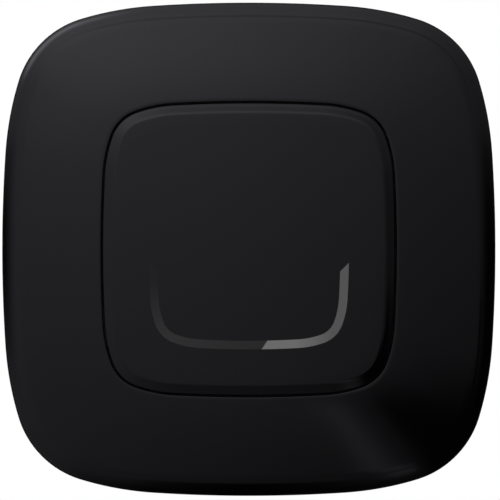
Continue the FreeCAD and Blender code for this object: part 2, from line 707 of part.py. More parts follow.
def module_cover():
    """The front half of the module, with the key's bearings, its stops and the battery opening."""
    half = MODULE_WIDTH / 2
    back = WALL_PLATE_THICKNESS + FLANGE_THICKNESS
    ceiling = COVER_FRONT - COVER_THICKNESS
    outer = rounded_block(0, 0, half, half, MODULE_CORNER_RADIUS, back, COVER_FRONT)
    inner = rounded_block(0, 0, half - COVER_SKIRT_WALL, half - COVER_SKIRT_WALL,
                          MODULE_CORNER_RADIUS - COVER_SKIRT_WALL, back - EXTRA, ceiling)
    bosses = [disc(x, y, BOSS_RADIUS, board_top(), ceiling) for x, y in screw_places()]
    posts = [square_block(x, y, POST_WIDTH, board_top(), ceiling) for x, y in post_places()]
    cell_opening = disc(0, 0, CELL_RADIUS + CELL_POCKET_CLEARANCE, ceiling - EXTRA, COVER_FRONT + EXTRA)
    cuts = [cell_opening.cut(cell_catches())]
    window = SWITCH_WIDTH / 2 + SWITCH_WINDOW_CLEARANCE
    for y in (-SWITCH_OFFSET, SWITCH_OFFSET):
        cuts.append(block(-window, window, y - window, y + window, ceiling - EXTRA, COVER_FRONT + EXTRA))
    cuts.append(disc(PAIRING_X, PAIRING_Y, PAIRING_STEM_RADIUS + PAIRING_HOLE_CLEARANCE,
                     ceiling - EXTRA, COVER_FRONT + EXTRA))
    cuts.append(pipe_block(PIPE_FIT, ceiling - EXTRA, COVER_FRONT + EXTRA))
    for x, y in screw_places():
        cuts.append(disc(x, y, SCREW_RADIUS + SCREW_FIT, board_top() - EXTRA, screw_tip() + SCREW_FIT))
    ears = [bearing_ear(), turned(bearing_ear(), 180)]
    return fuse([outer.cut(inner)] + bosses + posts + ears + key_stops()).cut(fuse(cuts))


def cell_catches():
    """Two small lips at the edge of the battery opening, one each side above the positive contact."""
    reach = CELL_RADIUS - CELL_POCKET_CLEARANCE
    half_width = CONTACT_WIDTH / 2
    lip = block(-CELL_RADIUS - 2 * CELL_POCKET_CLEARANCE, -reach, -half_width, half_width,
                COVER_FRONT - COVER_THICKNESS - EXTRA, COVER_FRONT + EXTRA)
    return fuse([turned(lip, -50), turned(lip, 50)])


def bearing_ear():
    """The right-hand ear: a bored post, open at the top so that the carrier's pin snaps in."""
    inner = CARRIER_HALF_X + EAR_GAP
    post = block(inner, inner + EAR_THICKNESS, -EAR_HALF_WIDTH, EAR_HALF_WIDTH,
                 COVER_FRONT - COVER_THICKNESS / 2, EAR_TOP)
    bore = Part.makeCylinder(PIVOT_RADIUS + PIVOT_FIT, EAR_THICKNESS + 2 * EXTRA,
                             V(inner - EXTRA, 0, PIVOT_HEIGHT), V(1, 0, 0))
    mouth = block(inner - EXTRA, inner + EAR_THICKNESS + EXTRA, -EAR_SLOT / 2, EAR_SLOT / 2,
                  PIVOT_HEIGHT, EAR_TOP + EXTRA)
    return post.cut(fuse([bore, mouth]))


def key_stops():
    """Four studs that the carrier meets at the end of its tilt."""
    y = CARRIER_HALF_Y - STOP_WIDTH / 2 - HOOK_NOSE
    drop = (y + STOP_WIDTH / 2) * math.sin(math.radians(KEY_TILT))
    top = CARRIER_BACK - drop - STOP_CLEARANCE
    return [square_block(x, side, STOP_WIDTH, COVER_FRONT - COVER_THICKNESS / 2, top)
            for x in (-STOP_X, STOP_X) for side in (-y, y)]


def screw_tip():
    """The height of the housing screws' tips."""
    return TUB_BACK + SCREW_HEAD_RECESS + SCREW_HEAD_HEIGHT + SCREW_LENGTH


def housing_screws():
    """Two screws from the back, through the board into the cover's bosses."""
    screws = []
    head = TUB_BACK + SCREW_HEAD_RECESS
    for x, y in screw_places():
        shank = disc(x, y, SCREW_RADIUS, head, screw_tip())
        cap = disc(x, y, SCREW_HEAD_RADIUS, head, head + SCREW_HEAD_HEIGHT)
        half_length, half_width = SCREW_DRIVE_LENGTH / 2, SCREW_DRIVE_WIDTH / 2
        drive = fuse([
            block(x - half_length, x + half_length, y - half_width, y + half_width,
                  head - EXTRA, head + SCREW_DRIVE_DEPTH),
            block(x - half_width, x + half_width, y - half_length, y + half_length,
                  head - EXTRA, head + SCREW_DRIVE_DEPTH)
        ])
        screws.append(fuse([shank, cap]).cut(drive))
    return Part.makeCompound(screws)


# Circuit board

def board_top():
    """The height of the board's front face."""
    return BOARD_SEAT + BOARD_THICKNESS


def circuit_board():
    """The board, with a round hole that the coin cell drops through and two screw holes."""
    half = TUB_HALF - TUB_WALL - BOARD_CLEARANCE
    board = rounded_block(0, 0, half, half, BOARD_CORNER_RADIUS, BOARD_SEAT, board_top())
    cuts = [disc(0, 0, CELL_RADIUS + CELL_POCKET_CLEARANCE, BOARD_SEAT - EXTRA, board_top() + EXTRA)]
    for x, y in screw_places():
        cuts.append(disc(x, y, SCREW_RADIUS + SCREW_PASSAGE, BOARD_SEAT - EXTRA, board_top() + EXTRA))
    return board.cut(fuse(cuts))


def on_board(x, y, length, width, height, lift=0.0):
    """A small block soldered on the board's front."""
    z = board_top() + lift
    return block(x - length / 2, x + length / 2, y - width / 2, y + width / 2, z, z + height)


def coin_cell():
    """The coin cell: a can with the smaller cap of its negative side towards the wall."""
    cap = disc(0, 0, CELL_CAP_RADIUS, CELL_BACK, CELL_BACK + CELL_CAP_STEP)
    can = disc(0, 0, CELL_RADIUS, CELL_BACK + CELL_CAP_STEP, CELL_BACK + CELL_THICKNESS)
    return fuse([cap, can])


def bent_strip(points, width, sheet):
    """A strip of thin sheet: points are (x, z) of its back face, and it is as wide as given along y."""
    front = []
    for number, (x, z) in enumerate(points):
        before = points[max(number - 1, 0)]
        after = points[min(number + 1, len(points) - 1)]
        lean = math.atan2(after[1] - before[1], after[0] - before[0])
        front.append((x - sheet * math.sin(lean), z + sheet * math.cos(lean)))
    return side_profile(points + front[::-1], width)


def battery_positive_contact():
    """A bracket on the board whose lip presses on the cell's front, beside the opening."""
    wall = CELL_RADIUS + CELL_POCKET_CLEARANCE
    lip = CELL_BACK + CELL_THICKNESS
    foot = wall + CONTACT_FOOT
    back = [(foot, board_top()), (wall, board_top()), (wall, lip), (wall - CONTACT_LIP, lip)]
    front = [(wall - CONTACT_LIP, lip + CONTACT_SHEET), (wall + CONTACT_SHEET, lip + CONTACT_SHEET),
             (wall + CONTACT_SHEET, board_top() + CONTACT_SHEET), (foot, board_top() + CONTACT_SHEET)]
    return side_profile(back + front, CONTACT_WIDTH)


def battery_negative_contact():
    """A leaf from the board's back, down to the floor and up to the middle of the cell."""
    wall = CELL_RADIUS + CELL_POCKET_CLEARANCE
    seat = BOARD_SEAT - CONTACT_SHEET
    floor = TUB_BACK + TUB_FLOOR
    touch = CELL_BACK - CONTACT_SHEET
    leaf = [(-wall - SPRING_FOOT, seat), (-wall - SPRING_BEND, seat), (-wall, floor),
            (-CELL_CAP_RADIUS / 2, floor), (0, touch), (CELL_CAP_RADIUS / 6, touch)]
    return bent_strip(leaf, SPRING_WIDTH, CONTACT_SHEET)


def radio_shield():
    """A thin can over the radio chip, open towards the board."""
    can = on_board(SHIELD_X, 0, SHIELD_WIDTH, SHIELD_LENGTH, SHIELD_HEIGHT)
    inside = on_board(SHIELD_X, 0, SHIELD_WIDTH - 2 * SHIELD_SHEET, SHIELD_LENGTH - 2 * SHIELD_SHEET,
                      SHIELD_HEIGHT - SHIELD_SHEET + EXTRA, -EXTRA)
    return can.cut(inside)


def capacitors():
    """Two rows of ceramic capacitors, above and below the radio."""
    parts = []
    for y in (-CAPACITOR_Y, CAPACITOR_Y):
        for number in range(CAPACITOR_ROW):
            x = CAPACITOR_X + number * CAPACITOR_PITCH
            parts.append(on_board(x, y, CAPACITOR_WIDTH, CAPACITOR_LENGTH, CAPACITOR_HEIGHT))
    return Part.makeCompound(parts)


# Key switches

def switch_body(y):
    """The moulded base of a key switch, with the pocket that its stem slides in."""
    body = on_board(0, y, SWITCH_WIDTH, SWITCH_WIDTH, SWITCH_BODY_HEIGHT)
    pocket = square_block(0, y, 2 * (STEM_RADIUS + STEM_FLANGE + STEM_FIT), board_top() + STEM_POCKET_FLOOR,
                          board_top() + SWITCH_BODY_HEIGHT + EXTRA)
    return body.cut(pocket)


def switch_cap(y):
    """The pressed metal cap of a key switch, with a tab down two of its sides."""
    top = board_top() + SWITCH_BODY_HEIGHT
    half = SWITCH_WIDTH / 2
    sheet = block(-half, half, y - half, y + half, top, top + SWITCH_CAP_THICKNESS)
    tabs = [
        block(x0, x0 + LEAD_SHEET, y - SWITCH_CAP_TAB / 2, y + SWITCH_CAP_TAB / 2,
              top - SWITCH_BODY_HEIGHT / 2, top + SWITCH_CAP_THICKNESS)
        for x0 in (-half - LEAD_SHEET, half)
    ]
    hole = disc(0, y, STEM_RADIUS + STEM_FIT, top - EXTRA, top + SWITCH_CAP_THICKNESS + EXTRA)
    return fuse([sheet] + tabs).cut(hole)


def switch_dome(y):
    """The four-legged snap dome on the floor of a key switch's pocket."""
    crown = DOME_HEIGHT - DOME_SHEET
    arch = [(-DOME_REACH, 0), (-DOME_REACH / 2, crown), (DOME_REACH / 2, crown), (DOME_REACH, 0)]
    leg = bent_strip(arch, DOME_LEG_WIDTH, DOME_SHEET)
    dome = fuse([leg, turned(leg, 90)])
    dome.translate(V(0, y, board_top() + STEM_POCKET_FLOOR))
    return dome


def switch_stem(y):
    """The round stem of a key switch, with the square flange that keeps it under the cap."""
    flange = board_top() + STEM_FLANGE_HEIGHT
    return fuse([
        disc(0, y, STEM_RADIUS, flange, board_top() + STEM_HEIGHT),
        square_block(0, y, 2 * (STEM_RADIUS + STEM_FLANGE), flange, flange + STEM_FLANGE_THICKNESS)
    ])


def switch_leads():
    """The soldered legs of both key switches, two on each side of each."""
    leads = []
    z = board_top()
    half = SWITCH_WIDTH / 2
    leg = [(half, z + LEAD_RISE), (half + LEAD_SHEET, z + LEAD_RISE), (half + LEAD_SHEET, z + LEAD_SHEET),
           (half + LEAD_REACH, z + LEAD_SHEET), (half + LEAD_REACH, z), (half, z)]
    for y in (-SWITCH_OFFSET, SWITCH_OFFSET):
        for offset in (-LEAD_OFFSET, LEAD_OFFSET):
            right = side_profile(leg, LEAD_WIDTH, y + offset)
            leads.append(right)
            leads.append(right.mirror(V(0, 0, 0), V(1, 0, 0)))
    return Part.makeCompound(leads)


def pairing_switch_body():
    """The small switch that puts the remote in pairing mode, reached with the key off."""
    body = on_board(PAIRING_X, PAIRING_Y, PAIRING_WIDTH, PAIRING_WIDTH, PAIRING_BODY_HEIGHT)
    z = board_top()
    pocket = square_block(PAIRING_X, PAIRING_Y, 2 * (PAIRING_STEM_RADIUS + PAIRING_FLANGE + STEM_FIT),
                          z + PAIRING_POCKET_FLOOR, z + PAIRING_BODY_HEIGHT - PAIRING_LID)
    hole = disc(PAIRING_X, PAIRING_Y, PAIRING_STEM_RADIUS + STEM_FIT, z + PAIRING_POCKET_FLOOR,
                z + PAIRING_BODY_HEIGHT + EXTRA)
    return body.cut(fuse([pocket, hole]))


def pairing_switch_stem():
    """The pairing switch's stem, its tip just below the cover's front."""
    flange = board_top() + PAIRING_FLANGE_HEIGHT
    return fuse([
        disc(PAIRING_X, PAIRING_Y, PAIRING_STEM_RADIUS, flange, board_top() + PAIRING_STEM_TOP),
        square_block(PAIRING_X, PAIRING_Y, 2 * (PAIRING_STEM_RADIUS + PAIRING_FLANGE), flange,
                     flange + PAIRING_FLANGE_THICKNESS)
    ])


def pipe_block(grow, z0, z1):
    """The light pipe's section between two heights, made wider all round by grow."""
    half_x, half_y = PIPE_LENGTH / 2 + grow, PIPE_WIDTH / 2 + grow
    return block(LED_X - half_x, LED_X + half_x, -BAND_HALF_SPAN - half_y, -BAND_HALF_SPAN + half_y, z0, z1)


def light_pipe():
    """The clear block in the cover that carries the lamp's light to the key."""
    back = board_top() + LED_HEIGHT + PIPE_GAP
    ceiling = COVER_FRONT - COVER_THICKNESS
    return fuse([pipe_block(0, back, COVER_FRONT + PIPE_PROUD),
                 pipe_block(PIPE_FLANGE, ceiling - PIPE_FLANGE_THICKNESS, ceiling)])


# Key

def key_body():
    """The key's outside as a solid: skirt, edge chamfer, bevel, soft bend and level face."""
    bevel = math.radians(BEVEL_SLOPE)
    start = (-KEY_EDGE_CHAMFER, KEY_EDGE_HEIGHT)
    # The bend is as wide as its radius times the slope's sine, and half of it belongs to the bevel.
    run = BEVEL_WIDTH + start[0] - BEVEL_BEND_RADIUS * math.sin(bevel) / 2
    bend_start = (start[0] - run, start[1] + run * math.tan(bevel))
    bend_centre = (bend_start[0] - BEVEL_BEND_RADIUS * math.sin(bevel),
                   bend_start[1] - BEVEL_BEND_RADIUS * math.cos(bevel))
    return KEY.swept_solid(Part.Wire([
        line((0, KEY_SKIRT_BOTTOM), (0, KEY_EDGE_HEIGHT - KEY_EDGE_CHAMFER)),
        line((0, KEY_EDGE_HEIGHT - KEY_EDGE_CHAMFER), start), line(start, bend_start),
        round_stretch(bend_centre, BEVEL_BEND_RADIUS, BEVEL_SLOPE, 0)
    ]))


def rocker_key():
    """The key: a shallow cap with a bevelled rim, hooks for its carrier and a slot for the light guide."""
    hollow = KEY.prism(KEY_SKIRT_BOTTOM - EXTRA, KEY_CEILING, -KEY_WALL)
    shell = key_body().cut(hollow)
    slot_tool = band(BAND_WIDTH / 2 + BAND_CLEARANCE, KEY_CEILING - EXTRA, KEY_CEILING + 3 * KEY_WALL)
    return fuse([shell] + carrier_hooks() + seat_ribs()).cut(slot_tool)


def carrier_hooks():
    """Four hooks under the key that snap over the carrier's top and bottom edges."""
    inner = CARRIER_HALF_Y + HOOK_CLEARANCE
    foot = CARRIER_BACK - HOOK_NOSE_THICKNESS
    hook = side_profile([
        (inner, KEY_CEILING), (inner, CARRIER_BACK), (inner - HOOK_NOSE, CARRIER_BACK),
        (inner - HOOK_NOSE / 3, foot), (inner + HOOK_THICKNESS, foot), (inner + HOOK_THICKNESS, KEY_CEILING)
    ], HOOK_WIDTH)
    hooks = []
    for x in (-HOOK_X, HOOK_X):
        for degrees in (90, 270):
            upright = turned(hook, degrees)
            upright.translate(V(x, 0, 0))
            hooks.append(upright)
    return hooks


def seat_ribs():
    """Ribs under the key that rest on the carrier."""
    return [
        block(side - SEAT_RIB_THICKNESS / 2, side + SEAT_RIB_THICKNESS / 2, SEAT_RIB_BOTTOM, SEAT_RIB_TOP,
              CARRIER_FRONT, KEY_CEILING)
        for x in (SEAT_RIB_X / 2, SEAT_RIB_X) for side in (-x, x)
    ]


def key_carrier():
    """The frame that the key clips to: it pivots in the cover's ears and presses the switch stems."""
    plate = rounded_block(0, 0, CARRIER_HALF_X, CARRIER_HALF_Y, CARRIER_CORNER_RADIUS,
                          CARRIER_BACK, CARRIER_FRONT)
    pad_back = board_top() + STEM_HEIGHT + PRESS_PAD_CLEARANCE
    pads = [square_block(0, y, PRESS_PAD_WIDTH, pad_back, CARRIER_FRONT)
            for y in (-SWITCH_OFFSET, SWITCH_OFFSET)]
    opening = disc(0, 0, CARRIER_OPENING_RADIUS, CARRIER_BACK - EXTRA, CARRIER_FRONT + EXTRA)
    half_length = GUIDE_TAIL_LENGTH / 2 + HOOK_CLEARANCE
    half_width = GUIDE_TAIL_WIDTH / 2 + HOOK_CLEARANCE
    tail_hole = block(LED_X - half_length, LED_X + half_length, -BAND_HALF_SPAN - half_width,
                      -BAND_HALF_SPAN + half_width, CARRIER_BACK - EXTRA, CARRIER_FRONT + EXTRA)
    pivots = [carrier_pivot(), turned(carrier_pivot(), 180)]
    return fuse([plate] + pads + pivots).cut(fuse([opening, tail_hole]))


def carrier_pivot():
    """The right-hand pivot pin and the thicker block that it grows from."""
    root = CARRIER_HALF_X - PIVOT_BLOCK_INSET
    length = PIVOT_LENGTH + PIVOT_BLOCK_INSET
    pin = Part.makeCylinder(PIVOT_RADIUS, length, V(root, 0, PIVOT_HEIGHT), V(1, 0, 0))
    return fuse([pin, block(root, CARRIER_HALF_X, -PIVOT_BLOCK, PIVOT_BLOCK,
                            PIVOT_HEIGHT - PIVOT_RADIUS, CARRIER_FRONT)])


# Light guide

def band(half_width, z0, z1):
    """The U of the light guide: the lower part of a soft-square ring, its ends cut on the slant."""
    ring = BAND.prism(z0, z1, half_width).cut(BAND.prism(z0 - EXTRA, z1 + EXTRA, -half_width))
    outer = BAND_HALF_SPAN + BAND_WIDTH / 2
    far = BAND_HALF_SPAN * 2
    # Each end slants down towards the middle at 45 degrees, and a wider band reaches further up.
    tip = BAND_TIP_HEIGHT + half_width - BAND_WIDTH / 2
    keep = [(outer, tip), (far, tip + far - outer), (far, -far), (-far, -far),
            (-far, tip + far - outer), (-outer, tip),
            (-outer + BAND_FLANGE_WIDTH, tip - BAND_FLANGE_WIDTH),
            (outer - BAND_FLANGE_WIDTH, tip - BAND_FLANGE_WIDTH)]
    corners = [V(x, y, z0 - EXTRA) for x, y in keep]
    mask = Part.Face(Part.makePolygon(corners + corners[:1])).extrude(V(0, 0, z1 - z0 + 2 * EXTRA))
    return ring.common(mask)


def light_guide():
    """The clear U in the key's face, with a flange behind it and a tail towards the lamp."""
    face = band(BAND_WIDTH / 2, KEY_EDGE_HEIGHT, KEY_EDGE_HEIGHT + 3 * KEY_WALL).common(key_body())
    neck = band(BAND_WIDTH / 2, KEY_CEILING, KEY_EDGE_HEIGHT)
    flange = band(BAND_FLANGE_WIDTH / 2, KEY_CEILING - BAND_FLANGE_THICKNESS, KEY_CEILING)
    tail = block(LED_X - GUIDE_TAIL_LENGTH / 2, LED_X + GUIDE_TAIL_LENGTH / 2,
                 -BAND_HALF_SPAN - GUIDE_TAIL_WIDTH / 2, -BAND_HALF_SPAN + GUIDE_TAIL_WIDTH / 2,
                 CARRIER_FRONT - GUIDE_TAIL_REACH, KEY_CEILING)
    return fuse([face, neck, flange, tail])


# Saving

def stand_up(shape):
    """Turns a piece from the drawing to upright: out of the wall becomes -Y, up the wall becomes +Z."""
    upright = shape.copy()
    upright.rotate(V(0, 0, 0), V(1, 0, 0), 90)
    return upright


def pieces():
    """Every separate piece by name."""
    return {
        "front_plate": front_plate(),
        "wall_plate": wall_plate(),
        "adhesive_pads": adhesive_pads(),
        "module_base": module_base(),
        "module_cover": module_cover(),
        "housing_screws": housing_screws(),
        "circuit_board": circuit_board(),
        "radio_chip": on_board(SHIELD_X, 0, CHIP_WIDTH, CHIP_WIDTH, CHIP_HEIGHT),
        "radio_shield": radio_shield(),
        "chip_antenna": on_board(ANTENNA_X, ANTENNA_Y, ANTENNA_LENGTH, ANTENNA_WIDTH, ANTENNA_HEIGHT),
        "timing_crystal": on_board(CRYSTAL_X, CRYSTAL_Y, CRYSTAL_LENGTH, CRYSTAL_WIDTH, CRYSTAL_HEIGHT),
        "capacitors": capacitors(),
        "coin_cell": coin_cell(),
        "battery_positive_contact": battery_positive_contact(),
        "battery_negative_contact": battery_negative_contact(),
        "upper_switch_body": switch_body(SWITCH_OFFSET),
        "lower_switch_body": switch_body(-SWITCH_OFFSET),
        "upper_switch_cap": switch_cap(SWITCH_OFFSET),
        "lower_switch_cap": switch_cap(-SWITCH_OFFSET),
        "upper_switch_dome": switch_dome(SWITCH_OFFSET),
        "lower_switch_dome": switch_dome(-SWITCH_OFFSET),
        "upper_switch_stem": switch_stem(SWITCH_OFFSET),
        "lower_switch_stem": switch_stem(-SWITCH_OFFSET),
        "switch_leads": switch_leads(),
        "pairing_switch_body": pairing_switch_body(),
        "pairing_switch_stem": pairing_switch_stem(),
        "indicator_led": on_board(LED_X, -BAND_HALF_SPAN, LED_LENGTH, LED_WIDTH, LED_HEIGHT),
        "light_pipe": light_pipe(),
        "rocker_key": rocker_key(),
        "key_carrier": key_carrier(),
        "light_guide": light_guide(),
    }


os.makedirs("parts", exist_ok=True)
for name, shape in pieces().items():
    stand_up(shape).exportStep(os.path.join("parts", name + ".step"))
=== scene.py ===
import math

import bmesh
import bpy
import numpy as np
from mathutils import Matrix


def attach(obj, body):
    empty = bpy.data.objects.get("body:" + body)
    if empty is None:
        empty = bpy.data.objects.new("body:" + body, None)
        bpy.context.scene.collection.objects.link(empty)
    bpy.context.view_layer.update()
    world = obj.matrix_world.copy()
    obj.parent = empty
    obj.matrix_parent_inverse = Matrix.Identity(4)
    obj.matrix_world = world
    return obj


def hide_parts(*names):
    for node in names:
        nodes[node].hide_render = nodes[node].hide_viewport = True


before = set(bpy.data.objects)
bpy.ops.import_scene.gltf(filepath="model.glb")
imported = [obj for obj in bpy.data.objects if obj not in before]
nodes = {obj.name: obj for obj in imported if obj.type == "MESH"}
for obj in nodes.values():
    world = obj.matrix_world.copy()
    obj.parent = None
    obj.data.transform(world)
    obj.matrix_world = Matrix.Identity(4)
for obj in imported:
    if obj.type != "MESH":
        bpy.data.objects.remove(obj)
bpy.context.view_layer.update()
scene = bpy.context.scene
scene.view_settings.view_transform = "Standard"


# Camera

# The photograph looks straight at the front from far away, so the plate keeps its outline without
# perspective. The plate fills the picture and sits a hair left of and above its middle.
PICTURE_WIDTH = 0.09337      # what the picture's width covers at the wall
PICTURE_SHIFT_X = 0.00022
PICTURE_SHIFT_Z = -0.00014
LENS = 1500.0
SENSOR = 36.0
CLIP_END = 20.0

camera = bpy.data.objects.new("camera", bpy.data.cameras.new("camera"))
camera.data.lens = LENS
camera.data.sensor_width = SENSOR
camera.data.clip_end = CLIP_END
camera.location = (PICTURE_SHIFT_X, -PICTURE_WIDTH * LENS / SENSOR, PICTURE_SHIFT_Z)
camera.rotation_euler = (math.radians(90), 0, 0)
scene.collection.objects.link(camera)
scene.camera = camera


# Studio

# A black plate is lit by what it reflects, so it stands in a white room inside an open light tent, which
# only reflections see. The tent is brightest above and fades to the right and downwards, with dark seams
# between its cloths, a dark flag at the lower right and a lamp behind the upper left.
FLOOR_DROP = 0.50
FLOOR_REACH = 6.0
FLOOR_WHITE = (0.9, 0.9, 0.9, 1)
FLOOR_ROUGHNESS = 0.8
TENT_RADIUS = 0.30
TENT_OPENING = math.radians(170)   # where the tent ends, measured from the camera's side
TENT_ROWS, TENT_COLUMNS = 220, 360
TENT_LEVEL = 0.535                 # its glow straight ahead of the plate
TENT_TINT = (0.985, 0.985, 1.075)
BARE_CLOTH = 0.005                 # what the darkest part of it still glows


def smooth_step(value, start, end):
    """0 before start, 1 after end, with a soft rise between."""
    share = np.clip((value - start) / (end - start), 0, 1)
    return share * share * (3 - 2 * share)


def soft_fall(value, start, end):
    """1 before start, 0 after end, with a soft fall between."""
    return 1 - smooth_step(value, start, end)


def between(value, rise, fall):
    """0 outside and 1 inside, with a soft rise over one stretch and a soft fall over the other."""
    return smooth_step(value, *rise) * soft_fall(value, *fall)


def bump(value, middle, width):
    """1 at the middle, falling off to both sides like a bell."""
    return np.exp(-((value - middle) / width) ** 2)


def level_off(value, change, middle, stretch):
    """A change that is steepest at the middle and levels off to both sides, like a tanh."""
    return change * np.tanh((value - middle) / stretch)


def add_mesh(name, points, faces):
    """A mesh object from an array of points and a list of faces."""
    mesh = bpy.data.meshes.new(name)
    mesh.from_pydata(points.tolist(), [], faces)
    mesh.update()
    piece = bpy.data.objects.new(name, mesh)
    scene.collection.objects.link(piece)
    return piece


def grid_faces(rows, columns, closed_rows=False):
    """The four-sided faces of a grid whose columns run round and close, and whose rows may close too."""
    last = rows if closed_rows else rows - 1
    row = np.arange(last)[:, None]
    column = np.arange(columns)[None, :]
    down, right = (row + 1) % rows, (column + 1) % columns
    corners = (row * columns + column, row * columns + right,
               down * columns + right, down * columns + column)
    return np.stack(corners, axis=-1).reshape(-1, 4)


# The open cloth. Its glow changes upwards and across: by how much, about which point and over what stretch
# in metres. Its sides follow waves of none to three to the round, by the heights of cosine and sine.
GLOW_UP = (0.66, 0.014, 0.057)
GLOW_ACROSS = (-0.335, 0.016, 0.031)
SIDE_WAVES = ((-0.18, 0), (-0.65, 1.03), (-0.12, 0.115), (0.19, 0.04))
FRONT_ENDS = (0.030, 0.210)        # the reach over which the front passes into the sides
FRONT_TILT = math.radians(60)      # past this tilt the reach no longer grows
CLOTH_ENDS = (52, 158)             # the tilts over which all cloth fades out, in degrees

# The dark seams, in degrees as all that follows: each one's turn, width and depth, and the tilts over
# which it comes in. The right one has an upper side only: below it the cloth stays dark to the fold.
LEFT_SEAM = (180, 9, 0.93, (46, 121))
LOWER_SEAM = (-90, 9, 1.0, (52, 66))
LOWER_SEAM_SPREAD = (-90, 20, 1.0, (58, 120))
RIGHT_SEAM = (0, 9, 1.0, (33, 87))
RIGHT_SEAM_FOOT = (-66, -54)

# The flag at the lower right, and the bright fold of cloth beside it.
FLAG_RISE, FLAG_FALL = (-70, -52), (-25, -8)
FLAG_DROP = (0.021, 0.069)         # how far down it comes in, in metres
FLAG_SHADE = 0.95
FOLD = (-71.5, 3.4)
FOLD_LIGHT = 0.31
FOLD_REACH = (0.048, 0.065)
FOLD_FALL, FOLD_END = (60, 110), (64, 110)   # the tilts over which it fades out, in two steps

# What the key's bevel mirrors: all its sides see the tent at about one tilt, so a narrow band there sets
# their tones.
BEVEL_BAND = (53, 5)
LOWER_SHADE, LOWER_RISE, LOWER_FALL = 0.9, (-66, -54), (-6, -2)
FOLD_SHADE = 0.6                   # what the fold loses there
UPPER_SHADE, UPPER_TURNS, UPPER_BAND = 0.38, (70, 45), (53.5, 4.5)

# The lamp behind the upper left, which only the plate's rim sees.
LAMP_LIGHT = 1.3
LAMP_RISE, LAMP_FALL = (98, 118), (146, 162)
LAMP_TILTS = (104, 12)


def open_cloth(reach, angle):
    """The glow without seams, from the reach, which is the radius times the tangent of the tilt.

    In front its logarithm rises with the height and falls to the right, both levelling off. Farther
    out it turns into the sum of the waves.
    """
    x, z = reach * np.cos(angle), reach * np.sin(angle)
    front = level_off(z, *GLOW_UP) + level_off(x, *GLOW_ACROSS)
    sides = sum(cosine * np.cos(count * angle) + sine * np.sin(count * angle)
                for count, (cosine, sine) in enumerate(SIDE_WAVES))
    share = smooth_step(reach, *FRONT_ENDS)
    return TENT_LEVEL * np.exp((1 - share) * front + share * sides)


def seam_shade(tilt, turn):
    """What the seams leave of the glow: 1 less each one's depth times its bell times its rise with tilt."""
    kept = 1.0
    for middle, width, depth, tilts in (LEFT_SEAM, LOWER_SEAM, LOWER_SEAM_SPREAD):
        away = np.abs((turn - middle + 180) % 360 - 180)
        kept = kept * (1 - depth * bump(away, 0, width) * smooth_step(tilt, *tilts))
    middle, width, depth, tilts = RIGHT_SEAM
    one_sided = bump(np.maximum(turn, middle), middle, width) * smooth_step(turn, *RIGHT_SEAM_FOOT)
    return kept * (1 - depth * one_sided * smooth_step(tilt, *tilts))


def tent_glow(tilt, angle):
    """How bright the tent is: tilt is measured from the camera's side, angle round the line of sight.

    The open cloth's glow is multiplied by what the seams, the flag and the two bands that the bevel
    mirrors leave of it. The fold adds light of its own, all of this fades towards the tent's end, and
    the lamp and the bare cloth come on top.
    """
    reach = TENT_RADIUS * np.tan(np.minimum(tilt, FRONT_TILT))
    drop = -reach * np.sin(angle)
    glow = open_cloth(reach, angle)
    tilt, turn = np.degrees(tilt), np.degrees(angle)
    flag = between(turn, FLAG_RISE, FLAG_FALL) * smooth_step(drop, *FLAG_DROP)
    lower = between(turn, LOWER_RISE, LOWER_FALL) * bump(tilt, *BEVEL_BAND)
    upper = bump(turn, *UPPER_TURNS) * bump(tilt, *UPPER_BAND)
    fold = bump(turn, *FOLD) * smooth_step(reach, *FOLD_REACH) * (1 - FOLD_SHADE * bump(tilt, *BEVEL_BAND))
    lamp = between(turn, LAMP_RISE, LAMP_FALL) * bump(tilt, *LAMP_TILTS)
    glow = glow * seam_shade(tilt, turn) * (1 - FLAG_SHADE * flag) * (1 - LOWER_SHADE * lower)
    glow = glow + FOLD_LIGHT * fold * soft_fall(tilt, *FOLD_FALL) * soft_fall(tilt, *FOLD_END)
    glow = glow * (1 - UPPER_SHADE * upper) * soft_fall(tilt, *CLOTH_ENDS)
    return glow + LAMP_LIGHT * lamp + BARE_CLOTH


def light_tent():
    """A dome round the line of sight: radius times (sin tilt cos angle, -cos tilt, sin tilt sin angle)."""
    tilt = np.linspace(0, TENT_OPENING, TENT_ROWS)[:, None]
    angle = np.linspace(-math.pi, math.pi, TENT_COLUMNS, endpoint=False)[None, :]
    points = TENT_RADIUS * np.stack([np.sin(tilt) * np.cos(angle), -np.cos(tilt) + 0 * angle,
                                     np.sin(tilt) * np.sin(angle)], axis=-1)
    faces = grid_faces(*points.shape[:2])
    tent = add_mesh("light_tent", points.reshape(-1, 3), faces.tolist())
    glow = tent.data.attributes.new("glow", "FLOAT", "POINT")
    glow.data.foreach_set("value", tent_glow(tilt, angle).ravel().astype(np.float32))
    return tent


def tent_cloth():
    """The tent's inside glows as its attribute says, and from outside it is clear."""
    material = bpy.data.materials.new("tent_cloth")
    material.use_nodes = True
    material.cycles.emission_sampling = "NONE"
    tree = material.node_tree
    tree.nodes.clear()
    glow = tree.nodes.new("ShaderNodeAttribute")
    glow.attribute_name = "glow"
    emission = tree.nodes.new("ShaderNodeEmission")
    emission.inputs["Color"].default_value = (*TENT_TINT, 1)
    clear = tree.nodes.new("ShaderNodeBsdfTransparent")
    facing = tree.nodes.new("ShaderNodeNewGeometry")
    mix = tree.nodes.new("ShaderNodeMixShader")
    output = tree.nodes.new("ShaderNodeOutputMaterial")
    tree.links.new(glow.outputs["Fac"], emission.inputs["Strength"])
    tree.links.new(facing.outputs["Backfacing"], mix.inputs["Fac"])
    tree.links.new(emission.outputs["Emission"], mix.inputs[1])
    tree.links.new(clear.outputs["BSDF"], mix.inputs[2])
    tree.links.new(mix.outputs["Shader"], output.inputs["Surface"])
    return material


